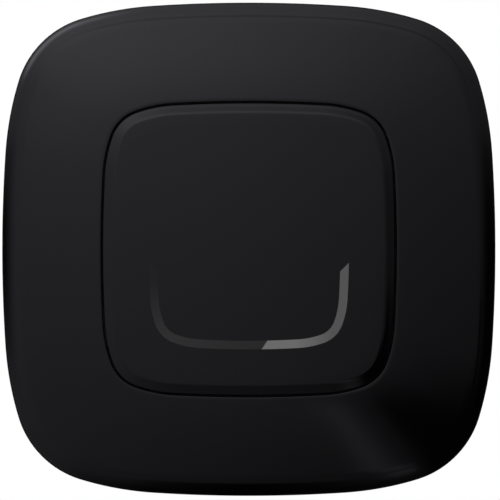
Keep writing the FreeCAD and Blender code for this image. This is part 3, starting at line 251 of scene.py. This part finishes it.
world = bpy.data.worlds.new("white_room")
world.use_nodes = True
world.node_tree.nodes["Background"].inputs["Color"].default_value = (1, 1, 1, 1)
world.node_tree.nodes["Background"].inputs["Strength"].default_value = 1.0
world.cycles.sampling_method = "NONE"
scene.world = world

tent = light_tent()
tent.data.materials.append(tent_cloth())
tent.visible_camera = False
tent.visible_diffuse = False
tent.visible_shadow = False

corner = FLOOR_REACH / 2
floor = add_mesh("floor", np.array([(-corner, -corner, -FLOOR_DROP), (corner, -corner, -FLOOR_DROP),
                                    (corner, corner, -FLOOR_DROP), (-corner, corner, -FLOOR_DROP)]),
                 [(0, 1, 2, 3)])
floor_paint = bpy.data.materials.new("floor_paint")
floor_paint.use_nodes = True
floor_shader = floor_paint.node_tree.nodes["Principled BSDF"]
floor_shader.inputs["Base Color"].default_value = FLOOR_WHITE
floor_shader.inputs["Roughness"].default_value = FLOOR_ROUGHNESS
floor.data.materials.append(floor_paint)


# Front plate

# The decorative surround: one thin moulding in satin black plastic, pulled from a polished mould. Its
# soft square rim runs over into the softer square of the opening. Inside are a collar round the key,
# thin webs, and four catches that snap over the wall plate's latches.

# An outline is given by half its width, the radius of its flat side arc and of its corner arc, and the
# turns at which the side arc ends and the corner arc begins. A third arc blends the two.
RIM = np.array([0.0460, 0.2730, 0.0174, math.radians(3.76), math.radians(16.9)])
KEY = np.array([0.0272, 0.2544, 0.0073, math.radians(3.15), math.radians(19.8)])
WIDER = np.array([1.0, 1.0, 1.0, 0.0, 0.0])   # what grows when an outline moves outwards
KEY_GAP = 0.0004
OPENING = KEY + KEY_GAP * WIDER
EIGHTHS, ARCS = 8, 3          # an outline is eight like eighths, each of three arcs
ARC_STEPS = 14                # columns along each of them
SKIRT_ROWS, RIM_ROWS, FACE_ROWS, EDGE_ROWS, INNER_ROWS = 8, 34, 26, 6, 4
FACE_HEIGHT = 0.0096
FACE_SLOPES = (math.radians(1.5), math.radians(8.0))
RIM_ROUND = 0.0043
SKIRT_DRAFT = 0.0007
REAR_GAP = 0.0003
PLATE_WALL = 0.0018
EDGE_ROUND = 0.0001
COLLAR = 0.0012
COLLAR_DEPTH = 0.0037
NOTCH_HALF = 0.0045
NOTCH_RISE = 0.0012
SAME_POINT = 2e-7             # points of one mesh that are nearer than this are joined
SHARP_ANGLE = math.radians(28)


def soft_square(around, sizes):
    """Points on soft squares of tangent arcs, one row of points for each row of sizes.

    around counts eighths of the way round from the middle of the right side. In each eighth the
    outward direction turns first along the flat side arc, then the blend, then the corner arc, and a
    point is its arc's centre plus the arc's radius times that direction. Other eighths are mirrored
    and turned copies.
    """
    half, side, tight, first, last = (column[:, None] for column in sizes.T)
    lean_first, lean_last = np.cos(first) - np.sin(first), np.cos(last) - np.sin(last)
    blend = (half - side + side * lean_first - tight * lean_last) / (lean_first - lean_last)
    blend_x = half - side + (side - blend) * np.cos(first)
    blend_y = (side - blend) * np.sin(first)
    tight_x = blend_x + (blend - tight) * np.cos(last)
    tight_y = blend_y + (blend - tight) * np.sin(last)
    step = ARCS * (1 - np.abs(1 - around % 2))
    on_side, on_blend = step < 1, step < 2
    turn = np.where(on_side, first * step, np.where(on_blend, first + (last - first) * (step - 1),
                                                    last + (math.pi / 4 - last) * (step - 2)))
    radius = np.where(on_side, side, np.where(on_blend, blend, tight))
    x = np.where(on_side, half - side, np.where(on_blend, blend_x, tight_x)) + radius * np.cos(turn)
    y = np.where(on_side, 0, np.where(on_blend, blend_y, tight_y)) + radius * np.sin(turn)
    mirrored = around % 2 > 1
    x, y = np.where(mirrored, y, x), np.where(mirrored, x, y)
    quarter = np.floor(around / 2) * math.pi / 2
    return x * np.cos(quarter) - y * np.sin(quarter), x * np.sin(quarter) + y * np.cos(quarter)


def face_height(half):
    """The face's height over the wall: a parabola that steepens from the opening to the rim."""
    inner, outer = np.tan(FACE_SLOPES)
    reach = half - OPENING[0]
    whole = RIM[0] - RIM_ROUND * (1 - math.sin(FACE_SLOPES[1])) - OPENING[0]
    return FACE_HEIGHT - inner * reach - (outer - inner) * reach ** 2 / (2 * whole)


def rows_along(start, end, heights):
    """Outlines that go evenly from one to another, with a height for each."""
    share = np.linspace(0, 1, len(heights))[:, None]
    return start + (end - start) * share, np.asarray(heights)


def rows_round(outline, centre, radius, first, last, count):
    """Outlines along a round stretch of the profile: angles in degrees from straight out of the wall."""
    angle = np.radians(np.linspace(first, last, count))
    grow = centre[0] + radius * np.sin(angle)
    return outline + grow[:, None] * WIDER, centre[1] + radius * np.cos(angle)


def upright(x, y, height):
    """Points of the drawing, turned to stand on the wall: the height above the wall runs along -Y."""
    return np.stack([x, -height, y], axis=-1)


def bars(profile, width, places):
    """Straight bars with one side profile of (outwards, height) points, at (turn, shift) places.

    A bar lies across the outward direction, half its width to each side, is turned about the middle
    by the turn in degrees, and is then shifted sideways.
    """
    points, faces = [], []
    count = len(profile)
    for turn, shift in places:
        start = len(points) * 2 * count
        ends = np.array([(out, side, height) for side in (-width / 2, width / 2)
                         for out, height in profile])
        cosine, sine = math.cos(math.radians(turn)), math.sin(math.radians(turn))
        x = ends[:, 0] * cosine - ends[:, 1] * sine + shift[0]
        y = ends[:, 0] * sine + ends[:, 1] * cosine + shift[1]
        points.append(upright(x, y, ends[:, 2]))
        faces.append(tuple(range(start, start + count)))
        faces.append(tuple(range(start + 2 * count - 1, start + count - 1, -1)))
        for number in range(count):
            corner, following = start + number, start + (number + 1) % count
            faces.append((corner, corner + count, following + count, following))
    return np.concatenate(points), faces


def moulding(name, grid, extras):
    """One piece from a grid that closes both ways and its added bars, smooth but for its sharp edges."""
    rows, columns = grid.shape[:2]
    points, faces = [grid.reshape(-1, 3)], grid_faces(rows, columns, closed_rows=True).tolist()
    for more_points, more_faces in extras:
        offset = sum(len(part) for part in points)
        points.append(more_points)
        faces += [tuple(index + offset for index in face) for face in more_faces]
    piece = add_mesh(name, np.concatenate(points), faces)
    shell = bmesh.new()
    shell.from_mesh(piece.data)
    bmesh.ops.remove_doubles(shell, verts=shell.verts, dist=SAME_POINT)
    bmesh.ops.recalc_face_normals(shell, faces=shell.faces)
    shell.to_mesh(piece.data)
    shell.free()
    piece.data.shade_smooth()
    piece.data.set_sharp_from_angle(angle=SHARP_ANGLE)
    return piece


def front_plate_grid():
    """The shell's closed profile carried round: skirt, rim, face, opening, collar, ceiling, inner skirt."""
    slope = FACE_SLOPES[1]
    takeover = RIM[0] - RIM_ROUND * (1 - math.sin(slope))
    centre = (-RIM_ROUND, face_height(takeover) - RIM_ROUND * math.cos(slope))
    edge = RIM + (takeover - RIM[0]) * WIDER
    face_end = OPENING + EDGE_ROUND * WIDER
    collar_foot = FACE_HEIGHT - COLLAR_DEPTH
    ceiling = FACE_HEIGHT - PLATE_WALL
    inner_round = RIM_ROUND - PLATE_WALL
    inner_edge = (-RIM_ROUND + inner_round * math.sin(slope), centre[1] + inner_round * math.cos(slope))
    share = np.linspace(0, 1, FACE_ROWS)[1:-1, None]
    face = edge + (face_end - edge) * share
    stretches = [
        rows_along(RIM - SKIRT_DRAFT * WIDER, RIM, np.linspace(REAR_GAP, centre[1], SKIRT_ROWS)),
        rows_round(RIM, centre, RIM_ROUND, 90, math.degrees(slope), RIM_ROWS),
        (face, face_height(face[:, 0])),
        rows_round(OPENING, (EDGE_ROUND, FACE_HEIGHT - EDGE_ROUND), EDGE_ROUND, 0, -90, EDGE_ROWS),
        rows_along(OPENING, OPENING, [FACE_HEIGHT - 2 * EDGE_ROUND, collar_foot]),
        rows_along(OPENING + COLLAR * WIDER, OPENING + COLLAR * WIDER, [collar_foot, ceiling]),
        rows_along(RIM + (OPENING[0] + COLLAR - RIM[0]) * WIDER, RIM + inner_edge[0] * WIDER,
                   np.linspace(ceiling, inner_edge[1], INNER_ROWS)),
        rows_along(RIM - PLATE_WALL * WIDER, RIM - (PLATE_WALL + SKIRT_DRAFT) * WIDER,
                   np.linspace(centre[1], REAR_GAP, INNER_ROWS)),
    ]
    sizes = np.concatenate([outline for outline, height in stretches])
    height = np.concatenate([height for outline, height in stretches])[:, None]
    around = np.arange(EIGHTHS * ARCS * ARC_STEPS)[None, :] / (ARCS * ARC_STEPS)
    x, y = soft_square(around, sizes)
    # The lower edge has a shallow notch, where a screwdriver lifts the plate off.
    notch = np.clip((NOTCH_HALF + EDGE_ROUND - np.abs(x)) / EDGE_ROUND, 0, 1) * (y < 0)
    at_foot = np.isclose(height, REAR_GAP)
    return upright(x, y, height + at_foot * notch * NOTCH_RISE)


TONE_LUMPS = 90.0             # the slow changes of tone, in lumps per metre
TONE_DETAIL = 4.0
GRAIN_DETAIL = 2.0
NOISE_MIDDLE = 0.5


def calculate(tree, operation, *values):
    """The outcome of a Math node, whose values are plain numbers or outputs of other nodes."""
    node = tree.nodes.new("ShaderNodeMath")
    node.operation = operation
    for socket, value in zip(node.inputs, values):
        if isinstance(value, bpy.types.NodeSocket):
            tree.links.new(value, socket)
        else:
            socket.default_value = value
    return node.outputs[0]


def surface_skin():
    """The fine surface of a moulding: a spark-eroded grain, and slow changes of tone and gloss.

    The change is the noise less its middle, times the unevenness. The colour is multiplied by one plus
    the change, and the roughness too.
    """
    group = bpy.data.node_groups.new("moulded_skin", "ShaderNodeTree")
    for name, kind, value in (("Colour", "NodeSocketColor", (0.5, 0.5, 0.5, 1)),
                              ("Roughness", "NodeSocketFloat", 0.4), ("Grain", "NodeSocketFloat", 4000.0),
                              ("Unevenness", "NodeSocketFloat", 0.1)):
        group.interface.new_socket(name, in_out="INPUT", socket_type=kind).default_value = value
    for name, kind in (("Colour", "NodeSocketColor"), ("Roughness", "NodeSocketFloat"),
                       ("Height", "NodeSocketFloat")):
        group.interface.new_socket(name, in_out="OUTPUT", socket_type=kind)
    make, link = group.nodes.new, group.links.new
    given, result = make("NodeGroupInput"), make("NodeGroupOutput")
    place = make("ShaderNodeTexCoord")
    slow, grain = make("ShaderNodeTexNoise"), make("ShaderNodeTexNoise")
    slow.inputs["Scale"].default_value = TONE_LUMPS
    slow.inputs["Detail"].default_value = TONE_DETAIL
    grain.inputs["Detail"].default_value = GRAIN_DETAIL
    link(place.outputs["Object"], slow.inputs["Vector"])
    link(place.outputs["Object"], grain.inputs["Vector"])
    link(given.outputs["Grain"], grain.inputs["Scale"])
    swing = calculate(group, "SUBTRACT", slow.outputs["Fac"], NOISE_MIDDLE)
    change = calculate(group, "MULTIPLY", swing, given.outputs["Unevenness"])
    roughness = given.outputs["Roughness"]
    tint = make("ShaderNodeVectorMath")
    tint.operation = "SCALE"
    link(given.outputs["Colour"], tint.inputs[0])
    link(calculate(group, "ADD", change, 1.0), tint.inputs["Scale"])
    link(tint.outputs["Vector"], result.inputs["Colour"])
    link(calculate(group, "MULTIPLY_ADD", change, roughness, roughness), result.inputs["Roughness"])
    link(grain.outputs["Fac"], result.inputs["Height"])
    return group


moulded_skin = surface_skin()


def moulded(name, colour, roughness, specular=0.5, grain=4000.0, depth=4e-6, unevenness=0.1, metallic=0.0):
    """A material with the moulded skin. Grain counts its lumps per metre, and depth is theirs in metres."""
    material = bpy.data.materials.new(name)
    material.use_nodes = True
    tree = material.node_tree
    shader = tree.nodes["Principled BSDF"]
    skin = tree.nodes.new("ShaderNodeGroup")
    skin.node_tree = moulded_skin
    skin.inputs["Colour"].default_value = (*colour, 1)
    skin.inputs["Roughness"].default_value = roughness
    skin.inputs["Grain"].default_value = grain
    skin.inputs["Unevenness"].default_value = unevenness
    relief = tree.nodes.new("ShaderNodeBump")
    relief.inputs["Distance"].default_value = depth
    relief.inputs["Strength"].default_value = 1.0
    shader.inputs["Specular IOR Level"].default_value = specular
    shader.inputs["Metallic"].default_value = metallic
    tree.links.new(skin.outputs["Colour"], shader.inputs["Base Color"])
    tree.links.new(skin.outputs["Roughness"], shader.inputs["Roughness"])
    tree.links.new(skin.outputs["Height"], relief.inputs["Height"])
    tree.links.new(relief.outputs["Normal"], shader.inputs["Normal"])
    return material


WEB = [(0.0320, 0.0062), (0.0484, 0.0062), (0.0484, 0.0072), (0.0320, 0.0084)]
WEB_WIDTH = 0.0010
CATCH = [(0.0382, 0.0080), (0.0394, 0.0080), (0.0394, 0.0032), (0.0386, 0.0032), (0.0374, 0.0045),
         (0.0374, 0.0053), (0.0382, 0.0053)]
CATCH_WIDTH = 0.0104
QUARTERS = (0, 90, 180, 270)
WEB_TURNS = (30, 60)
SATIN_BLACK = (0.0004, 0.0004, 0.0006)
SATIN = {"roughness": 0.09, "specular": 0.3, "unevenness": 0.06, "depth": 6e-7}

webs = bars(WEB, WEB_WIDTH, [(quarter + turn, (0, 0)) for quarter in QUARTERS for turn in WEB_TURNS])
catches = bars(CATCH, CATCH_WIDTH, [(quarter, (0, 0)) for quarter in QUARTERS])
front_plate = moulding("front_plate_skin", front_plate_grid(), [webs, catches])
front_plate.data.materials.append(moulded("plate_plastic_satin", SATIN_BLACK, **SATIN))
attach(front_plate, "wall_unit")
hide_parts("front_plate")


# Rocker key

# The square that is pressed: a shallow cap in the same satin black, with a narrow bevel that bends
# softly into the level face. A slot in the face takes the light guide. Hooks and ribs behind it hold
# the key to its carrier.
KEY_FOOT = 0.0070
KEY_EDGE = 0.0096
KEY_EDGE_ROUND = 0.0002
BEVEL_WIDTH = 0.00165
BEVEL_SLOPE = math.radians(25.43)
BEVEL_BEND = 0.0014
KEY_WALL = 0.0013
KEY_CEILING = 0.0092
BAND = np.array([0.01785, 0.1660, 0.00485, math.radians(3.15), math.radians(19.8)])
BAND_WIDTH = 0.0016
BAND_CLEARANCE = 0.00003
BAND_TIP = -0.0025            # the height of each end's outer point
SLOT_FLOOR = 0.0093
TIP_SHARE = 1 / 12            # the column, in eighths from the side's middle, that ends the slot
LEFT, BELOW = 4, 6            # the middles of these sides, in eighths from the right side's
BEVEL_ROWS = np.array([0.9, 0.45, 0.0])   # where on the bevel's run they lie, back from the bend
BEND_START = 2                # degrees of the bend that the last of these rows stands for
BEND_ROWS, OUTER_ROWS, MIDDLE_ROWS, CEILING_ROWS = 11, 4, 6, 4


def slot_columns(sizes):
    """Columns for the key's face: the ones at the slot's ends lie on its slanted end lines.

    An end line has a constant width minus height. On a side arc that point is found where the arc's
    small angle is that constant minus the half width, over the radius.
    """
    line = BAND[0] + BAND_WIDTH / 2 - BAND_TIP
    angle = (line - sizes[:, 0]) / sizes[:, 1]
    tip = (angle / sizes[:, 3] / ARCS)[:, None]
    flat = 1 / ARCS
    ends = (LEFT + TIP_SHARE, EIGHTHS - TIP_SHARE)
    base = np.arange(EIGHTHS * ARCS * ARC_STEPS) / (ARCS * ARC_STEPS)
    base = np.sort(np.concatenate([base, ends, ends]))
    away = np.where(base > BELOW, EIGHTHS - base, base - LEFT)[None, :]
    near = (away >= 0) & (away < flat)
    warped = np.where(away < TIP_SHARE, away * tip / TIP_SHARE,
                      tip + (away - TIP_SHARE) * (flat - tip) / (flat - TIP_SHARE))
    around = np.where(near, np.where(base > BELOW, EIGHTHS - warped, LEFT + warped), base)
    first = np.searchsorted(base, ends[0], side="left") + 1
    last = np.searchsorted(base, ends[1], side="left")
    in_slot = np.zeros(len(base), bool)
    in_slot[first:last + 1] = True
    return around % EIGHTHS, in_slot[None, :]


def key_grid():
    """The cap's closed profile: skirt, edge, bevel, bend, face with its slot, and the hollow behind."""
    run = BEVEL_WIDTH - KEY_EDGE_ROUND - BEVEL_BEND * math.sin(BEVEL_SLOPE) / 2
    bend_start = (-KEY_EDGE_ROUND - run, KEY_EDGE + run * math.tan(BEVEL_SLOPE))
    bend_centre = (bend_start[0] - BEVEL_BEND * math.sin(BEVEL_SLOPE),
                   bend_start[1] - BEVEL_BEND * math.cos(BEVEL_SLOPE))
    level = bend_centre[1] + BEVEL_BEND
    slot_side = BAND_WIDTH / 2 + BAND_CLEARANCE
    face_edge = KEY + bend_centre[0] * WIDER
    outer, inner = BAND + slot_side * WIDER, BAND - slot_side * WIDER
    hollow = KEY - KEY_WALL * WIDER
    middle = BAND * np.array([0.0, 0.0, 0.0, 1.0, 1.0])
    edge_centre = (-KEY_EDGE_ROUND, KEY_EDGE - KEY_EDGE_ROUND)
    stretches = [
        rows_along(KEY, KEY, [KEY_FOOT, (KEY_FOOT + edge_centre[1]) / 2]),
        rows_round(KEY, edge_centre, KEY_EDGE_ROUND, 90, math.degrees(BEVEL_SLOPE), EDGE_ROWS),
        rows_along(KEY + (bend_start[0] + run * BEVEL_ROWS[0]) * WIDER, KEY + bend_start[0] * WIDER,
                   bend_start[1] - run * BEVEL_ROWS * math.tan(BEVEL_SLOPE)),
        rows_round(KEY, bend_centre, BEVEL_BEND, math.degrees(BEVEL_SLOPE) - BEND_START, 0, BEND_ROWS),
        rows_along(face_edge, outer, [level] * OUTER_ROWS),
        rows_along(outer, outer, [SLOT_FLOOR]),
        rows_along(inner, inner, [SLOT_FLOOR]),
        rows_along(inner, middle, [level] * MIDDLE_ROWS),
        rows_along(middle, hollow, [KEY_CEILING] * CEILING_ROWS),
        rows_along(hollow, hollow, [KEY_FOOT]),
    ]
    sizes = np.concatenate([outline for outline, height in stretches])
    height = np.concatenate([height for outline, height in stretches])[:, None]
    slot_sizes = np.broadcast_to(outer, sizes.shape).copy()
    is_inner = np.cumsum(np.isclose(sizes[:, 0], inner[0])) > 0
    slot_sizes[is_inner] = inner
    around, in_slot = slot_columns(slot_sizes)
    x, y = soft_square(around, sizes)
    height = np.where(np.isclose(height, SLOT_FLOOR) & ~in_slot, level, height)
    return upright(x, y, height)


HOOK = [(0.0202, 0.0093), (0.0202, 0.0077), (0.0196, 0.0077), (0.0200, 0.00725), (0.0212, 0.00725),
        (0.0212, 0.0093)]
HOOK_WIDTH = 0.0050
HOOK_SPREAD = 0.0100
RIB = [(-0.0146, 0.0085), (0.0190, 0.0085), (0.0190, 0.0093), (-0.0146, 0.0093)]
RIB_WIDTH = 0.0009
RIB_SPREAD = (-0.0130, -0.0065, 0.0065, 0.0130)

hooks = bars(HOOK, HOOK_WIDTH, [(turn, (side, 0)) for turn in (90, 270)
                                for side in (-HOOK_SPREAD, HOOK_SPREAD)])
ribs = bars(RIB, RIB_WIDTH, [(90, (side, 0)) for side in RIB_SPREAD])
rocker_key = moulding("rocker_key_cap", key_grid(), [hooks, ribs])
rocker_key.data.materials.append(moulded("key_plastic_satin", SATIN_BLACK, **SATIN))
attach(rocker_key, "key")
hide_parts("rocker_key")


# Light guide

# A U of smoked clear plastic let flush into the key, which the lamp behind lights at one point. Its colour
# holds a painted reflection: the lower right stretch is painted bright, cut off along a slanted line, and
# the rest is dim and fades out up the left side.

# The painted reflection begins where x + lean * z passes the line. Its tone and the dim stretch's go from
# the first to the second over their reach of x.
REFLECTION_LEAN, REFLECTION_LINE = -0.66, 0.0147
REFLECTION_EDGE = 0.0001          # half the width of this change
REFLECTION_REACH, PAINTED_REFLECTION = (0.0085, 0.0155), (0.141, 0.080)
DIM_REACH, DIM = (-0.0135, 0.0), (0.0175, 0.0125)
FADE_REACH = (-0.0158, -0.0060)   # the heights over which the dim stretch fades out
DARK = 0.0018


def ramp(tree, value, reach, ends=(0.0, 1.0)):
    """A Map Range node that turns the value's stretch between the reach into that between the ends."""
    node = tree.nodes.new("ShaderNodeMapRange")
    node.inputs["From Min"].default_value, node.inputs["From Max"].default_value = reach
    node.inputs["To Min"].default_value, node.inputs["To Max"].default_value = ends
    tree.links.new(value, node.inputs["Value"])
    return node


def guide_plastic():
    """Smoked plastic whose tone follows the guide: a painted reflection past the slanted line, dim and
    fading before.
    """
    material = moulded("smoked_guide_painted_reflection", (DARK, DARK, DARK), roughness=0.12, specular=0.3,
                       unevenness=0.05, depth=6e-7)
    tree = material.node_tree
    make, link = tree.nodes.new, tree.links.new
    place, parts = make("ShaderNodeTexCoord"), make("ShaderNodeSeparateXYZ")
    link(place.outputs["Object"], parts.inputs["Vector"])
    x, z = parts.outputs["X"], parts.outputs["Z"]
    across = calculate(tree, "MULTIPLY_ADD", z, REFLECTION_LEAN, x)
    # Painted reflection: past the slanted line the guide's colour takes the bright tone.
    in_painted_reflection = ramp(tree, across, (REFLECTION_LINE - REFLECTION_EDGE, REFLECTION_LINE + REFLECTION_EDGE))
    fade = ramp(tree, z, FADE_REACH, (0.0, DARK))
    link(ramp(tree, x, DIM_REACH, DIM).outputs["Result"], fade.inputs["To Min"])
    mix = make("ShaderNodeMix")
    mix.data_type = "FLOAT"
    link(in_painted_reflection.outputs["Result"], mix.inputs["Factor"])
    link(fade.outputs["Result"], mix.inputs["A"])
    link(ramp(tree, x, REFLECTION_REACH, PAINTED_REFLECTION).outputs["Result"], mix.inputs["B"])
    tone = make("ShaderNodeCombineColor")
    for channel in ("Red", "Green", "Blue"):
        link(mix.outputs["Result"], tone.inputs[channel])
    skin = next(node for node in tree.nodes if node.type == "GROUP")
    link(tone.outputs["Color"], skin.inputs["Colour"])
    return material


def dress(material, *names):
    """Gives CAD pieces their finish in place of the plain one they come with."""
    for name in names:
        nodes[name].data.materials.clear()
        nodes[name].data.materials.append(material)


dress(guide_plastic(), "light_guide")


# Key carrier

# The frame behind the key, in a tougher matt black plastic: it pivots in the cover's ears on two
# moulded pins and presses the switches.
CARRIER_BLACK = (0.020, 0.020, 0.022)
dress(moulded("carrier_plastic", CARRIER_BLACK, roughness=0.48, depth=1e-5), "key_carrier")


# Wall plate and adhesive pads

# The flat mount in matt black plastic, screwed or stuck to the wall. Four foam pads with adhesive on
# both faces lie in shallow pockets in its back.
MOUNT_BLACK = (0.024, 0.024, 0.026)
FOAM_WHITE = (0.62, 0.62, 0.60)
dress(moulded("mount_plastic", MOUNT_BLACK, roughness=0.5, depth=1.2e-5, unevenness=0.2), "wall_plate")
dress(moulded("adhesive_foam", FOAM_WHITE, roughness=0.7, grain=1800.0, depth=3e-5, unevenness=0.15),
      "adhesive_pads")


# Radio module housing

# A tub and a cover in dark grey plastic with a spark-eroded texture, held together from behind by two
# zinc-plated cross-head screws.
HOUSING_GREY = (0.045, 0.045, 0.048)
ZINC = (0.60, 0.60, 0.57)
dress(moulded("housing_plastic", HOUSING_GREY, roughness=0.55, grain=2600.0, depth=2e-5),
      "module_base", "module_cover")
dress(moulded("zinc_plate", ZINC, roughness=0.3, metallic=1.0, unevenness=0.35, depth=2e-6),
      "housing_screws")


# Circuit board

# Glass-fibre laminate under green solder mask, with copper tracks that show as raised lines and small
# tinned through-holes. On it stand the radio chip under its tinned can, a ceramic antenna, a crystal
# and ceramic capacitors.
MASK_GREEN = (0.012, 0.085, 0.038)
TRACK_GREEN = (0.022, 0.15, 0.062)
TIN = (0.72, 0.71, 0.68)
CHIP_BLACK = (0.022, 0.022, 0.023)
CERAMIC_TAN = (0.52, 0.38, 0.24)
TRACKS = {"Scale": 260.0, "Mortar Size": 0.045, "Brick Width": 1.7, "Row Height": 0.35}
HOLES = {"Scale": 230.0, "Randomness": 0.8}
HOLE_EDGE = (0.11, 0.09)      # where a hole's tin begins and where it is full, in cells from its middle


def board_laminate():
    """Green solder mask over tracks: brick rows for the tracks, and round spots for the holes.

    Both patterns are turned upright, onto the board's face.
    """
    material = moulded("board_laminate", MASK_GREEN, roughness=0.32, depth=6e-6)
    tree = material.node_tree
    make, link = tree.nodes.new, tree.links.new
    shader = tree.nodes["Principled BSDF"]
    skin = next(node for node in tree.nodes if node.type == "GROUP")
    relief = next(node for node in tree.nodes if node.type == "BUMP")
    place, flat = make("ShaderNodeTexCoord"), make("ShaderNodeMapping")
    flat.inputs["Rotation"].default_value = (math.radians(90), 0, 0)
    link(place.outputs["Object"], flat.inputs["Vector"])
    tracks, holes = make("ShaderNodeTexBrick"), make("ShaderNodeTexVoronoi")
    for colour, tone in (("Color1", 0), ("Color2", 0), ("Mortar", 1)):
        tracks.inputs[colour].default_value = (tone, tone, tone, 1)
    for pattern, sizes in ((tracks, TRACKS), (holes, HOLES)):
        link(flat.outputs["Vector"], pattern.inputs["Vector"])
        for name, size in sizes.items():
            pattern.inputs[name].default_value = size
    spot = ramp(tree, holes.outputs["Distance"], HOLE_EDGE)
    masked, tinned = make("ShaderNodeMix"), make("ShaderNodeMix")
    masked.data_type = tinned.data_type = "RGBA"
    masked.inputs["B"].default_value = (*TRACK_GREEN, 1)
    tinned.inputs["B"].default_value = (*TIN, 1)
    link(tracks.outputs["Color"], masked.inputs["Factor"])
    link(skin.outputs["Colour"], masked.inputs["A"])
    link(spot.outputs["Result"], tinned.inputs["Factor"])
    link(masked.outputs["Result"], tinned.inputs["A"])
    link(tinned.outputs["Result"], shader.inputs["Base Color"])
    link(spot.outputs["Result"], shader.inputs["Metallic"])
    link(tracks.outputs["Color"], relief.inputs["Height"])
    return material


dress(board_laminate(), "circuit_board")
dress(moulded("chip_epoxy", CHIP_BLACK, roughness=0.42), "radio_chip")
dress(moulded("tinned_sheet", TIN, roughness=0.34, metallic=1.0, unevenness=0.3, depth=2e-6),
      "radio_shield", "timing_crystal", "switch_leads", "upper_switch_cap", "lower_switch_cap")
dress(moulded("fired_ceramic", CERAMIC_TAN, roughness=0.45, unevenness=0.3),
      "capacitors", "chip_antenna")


# Coin cell and its contacts

# A nickel-plated steel can pressed from sheet, and two contacts of springy nickel-plated strip soldered
# to the board. The key switches' snap domes are of the same strip.
NICKEL = (0.66, 0.63, 0.58)
dress(moulded("nickel_plate", NICKEL, roughness=0.24, metallic=1.0, unevenness=0.4, depth=1.5e-6),
      "coin_cell", "battery_positive_contact", "battery_negative_contact", "upper_switch_dome",
      "lower_switch_dome")


# Key switches and pairing switch

# Two tact switches under the carrier and a smaller one beside them: black glass-filled bodies, and red
# stems that slide in them. Their tinned caps and legs have the finish of the radio chip's can.
SWITCH_BLACK = (0.03, 0.03, 0.033)
STEM_RED = (0.45, 0.045, 0.03)
dress(moulded("switch_body_plastic", SWITCH_BLACK, roughness=0.5, depth=6e-6),
      "upper_switch_body", "lower_switch_body", "pairing_switch_body")
dress(moulded("stem_plastic", STEM_RED, roughness=0.35, depth=3e-6),
      "upper_switch_stem", "lower_switch_stem", "pairing_switch_stem")


# Indicator lamp and light pipe

# A small lamp in yellowish resin on the board, and the clear block in the cover that leads its light
# to the key.
RESIN_YELLOW = (0.80, 0.76, 0.48)
CLEAR = (0.93, 0.95, 0.96)
CLARITY = 0.9
ACRYLIC_IOR = 1.49


def clear_block():
    """Polished clear plastic."""
    material = moulded("clear_block", CLEAR, roughness=0.06, depth=1e-6)
    shader = material.node_tree.nodes["Principled BSDF"]
    shader.inputs["Transmission Weight"].default_value = CLARITY
    shader.inputs["IOR"].default_value = ACRYLIC_IOR
    return material


dress(moulded("lamp_resin", RESIN_YELLOW, roughness=0.25, depth=2e-6), "indicator_led")
dress(clear_block(), "light_pipe")
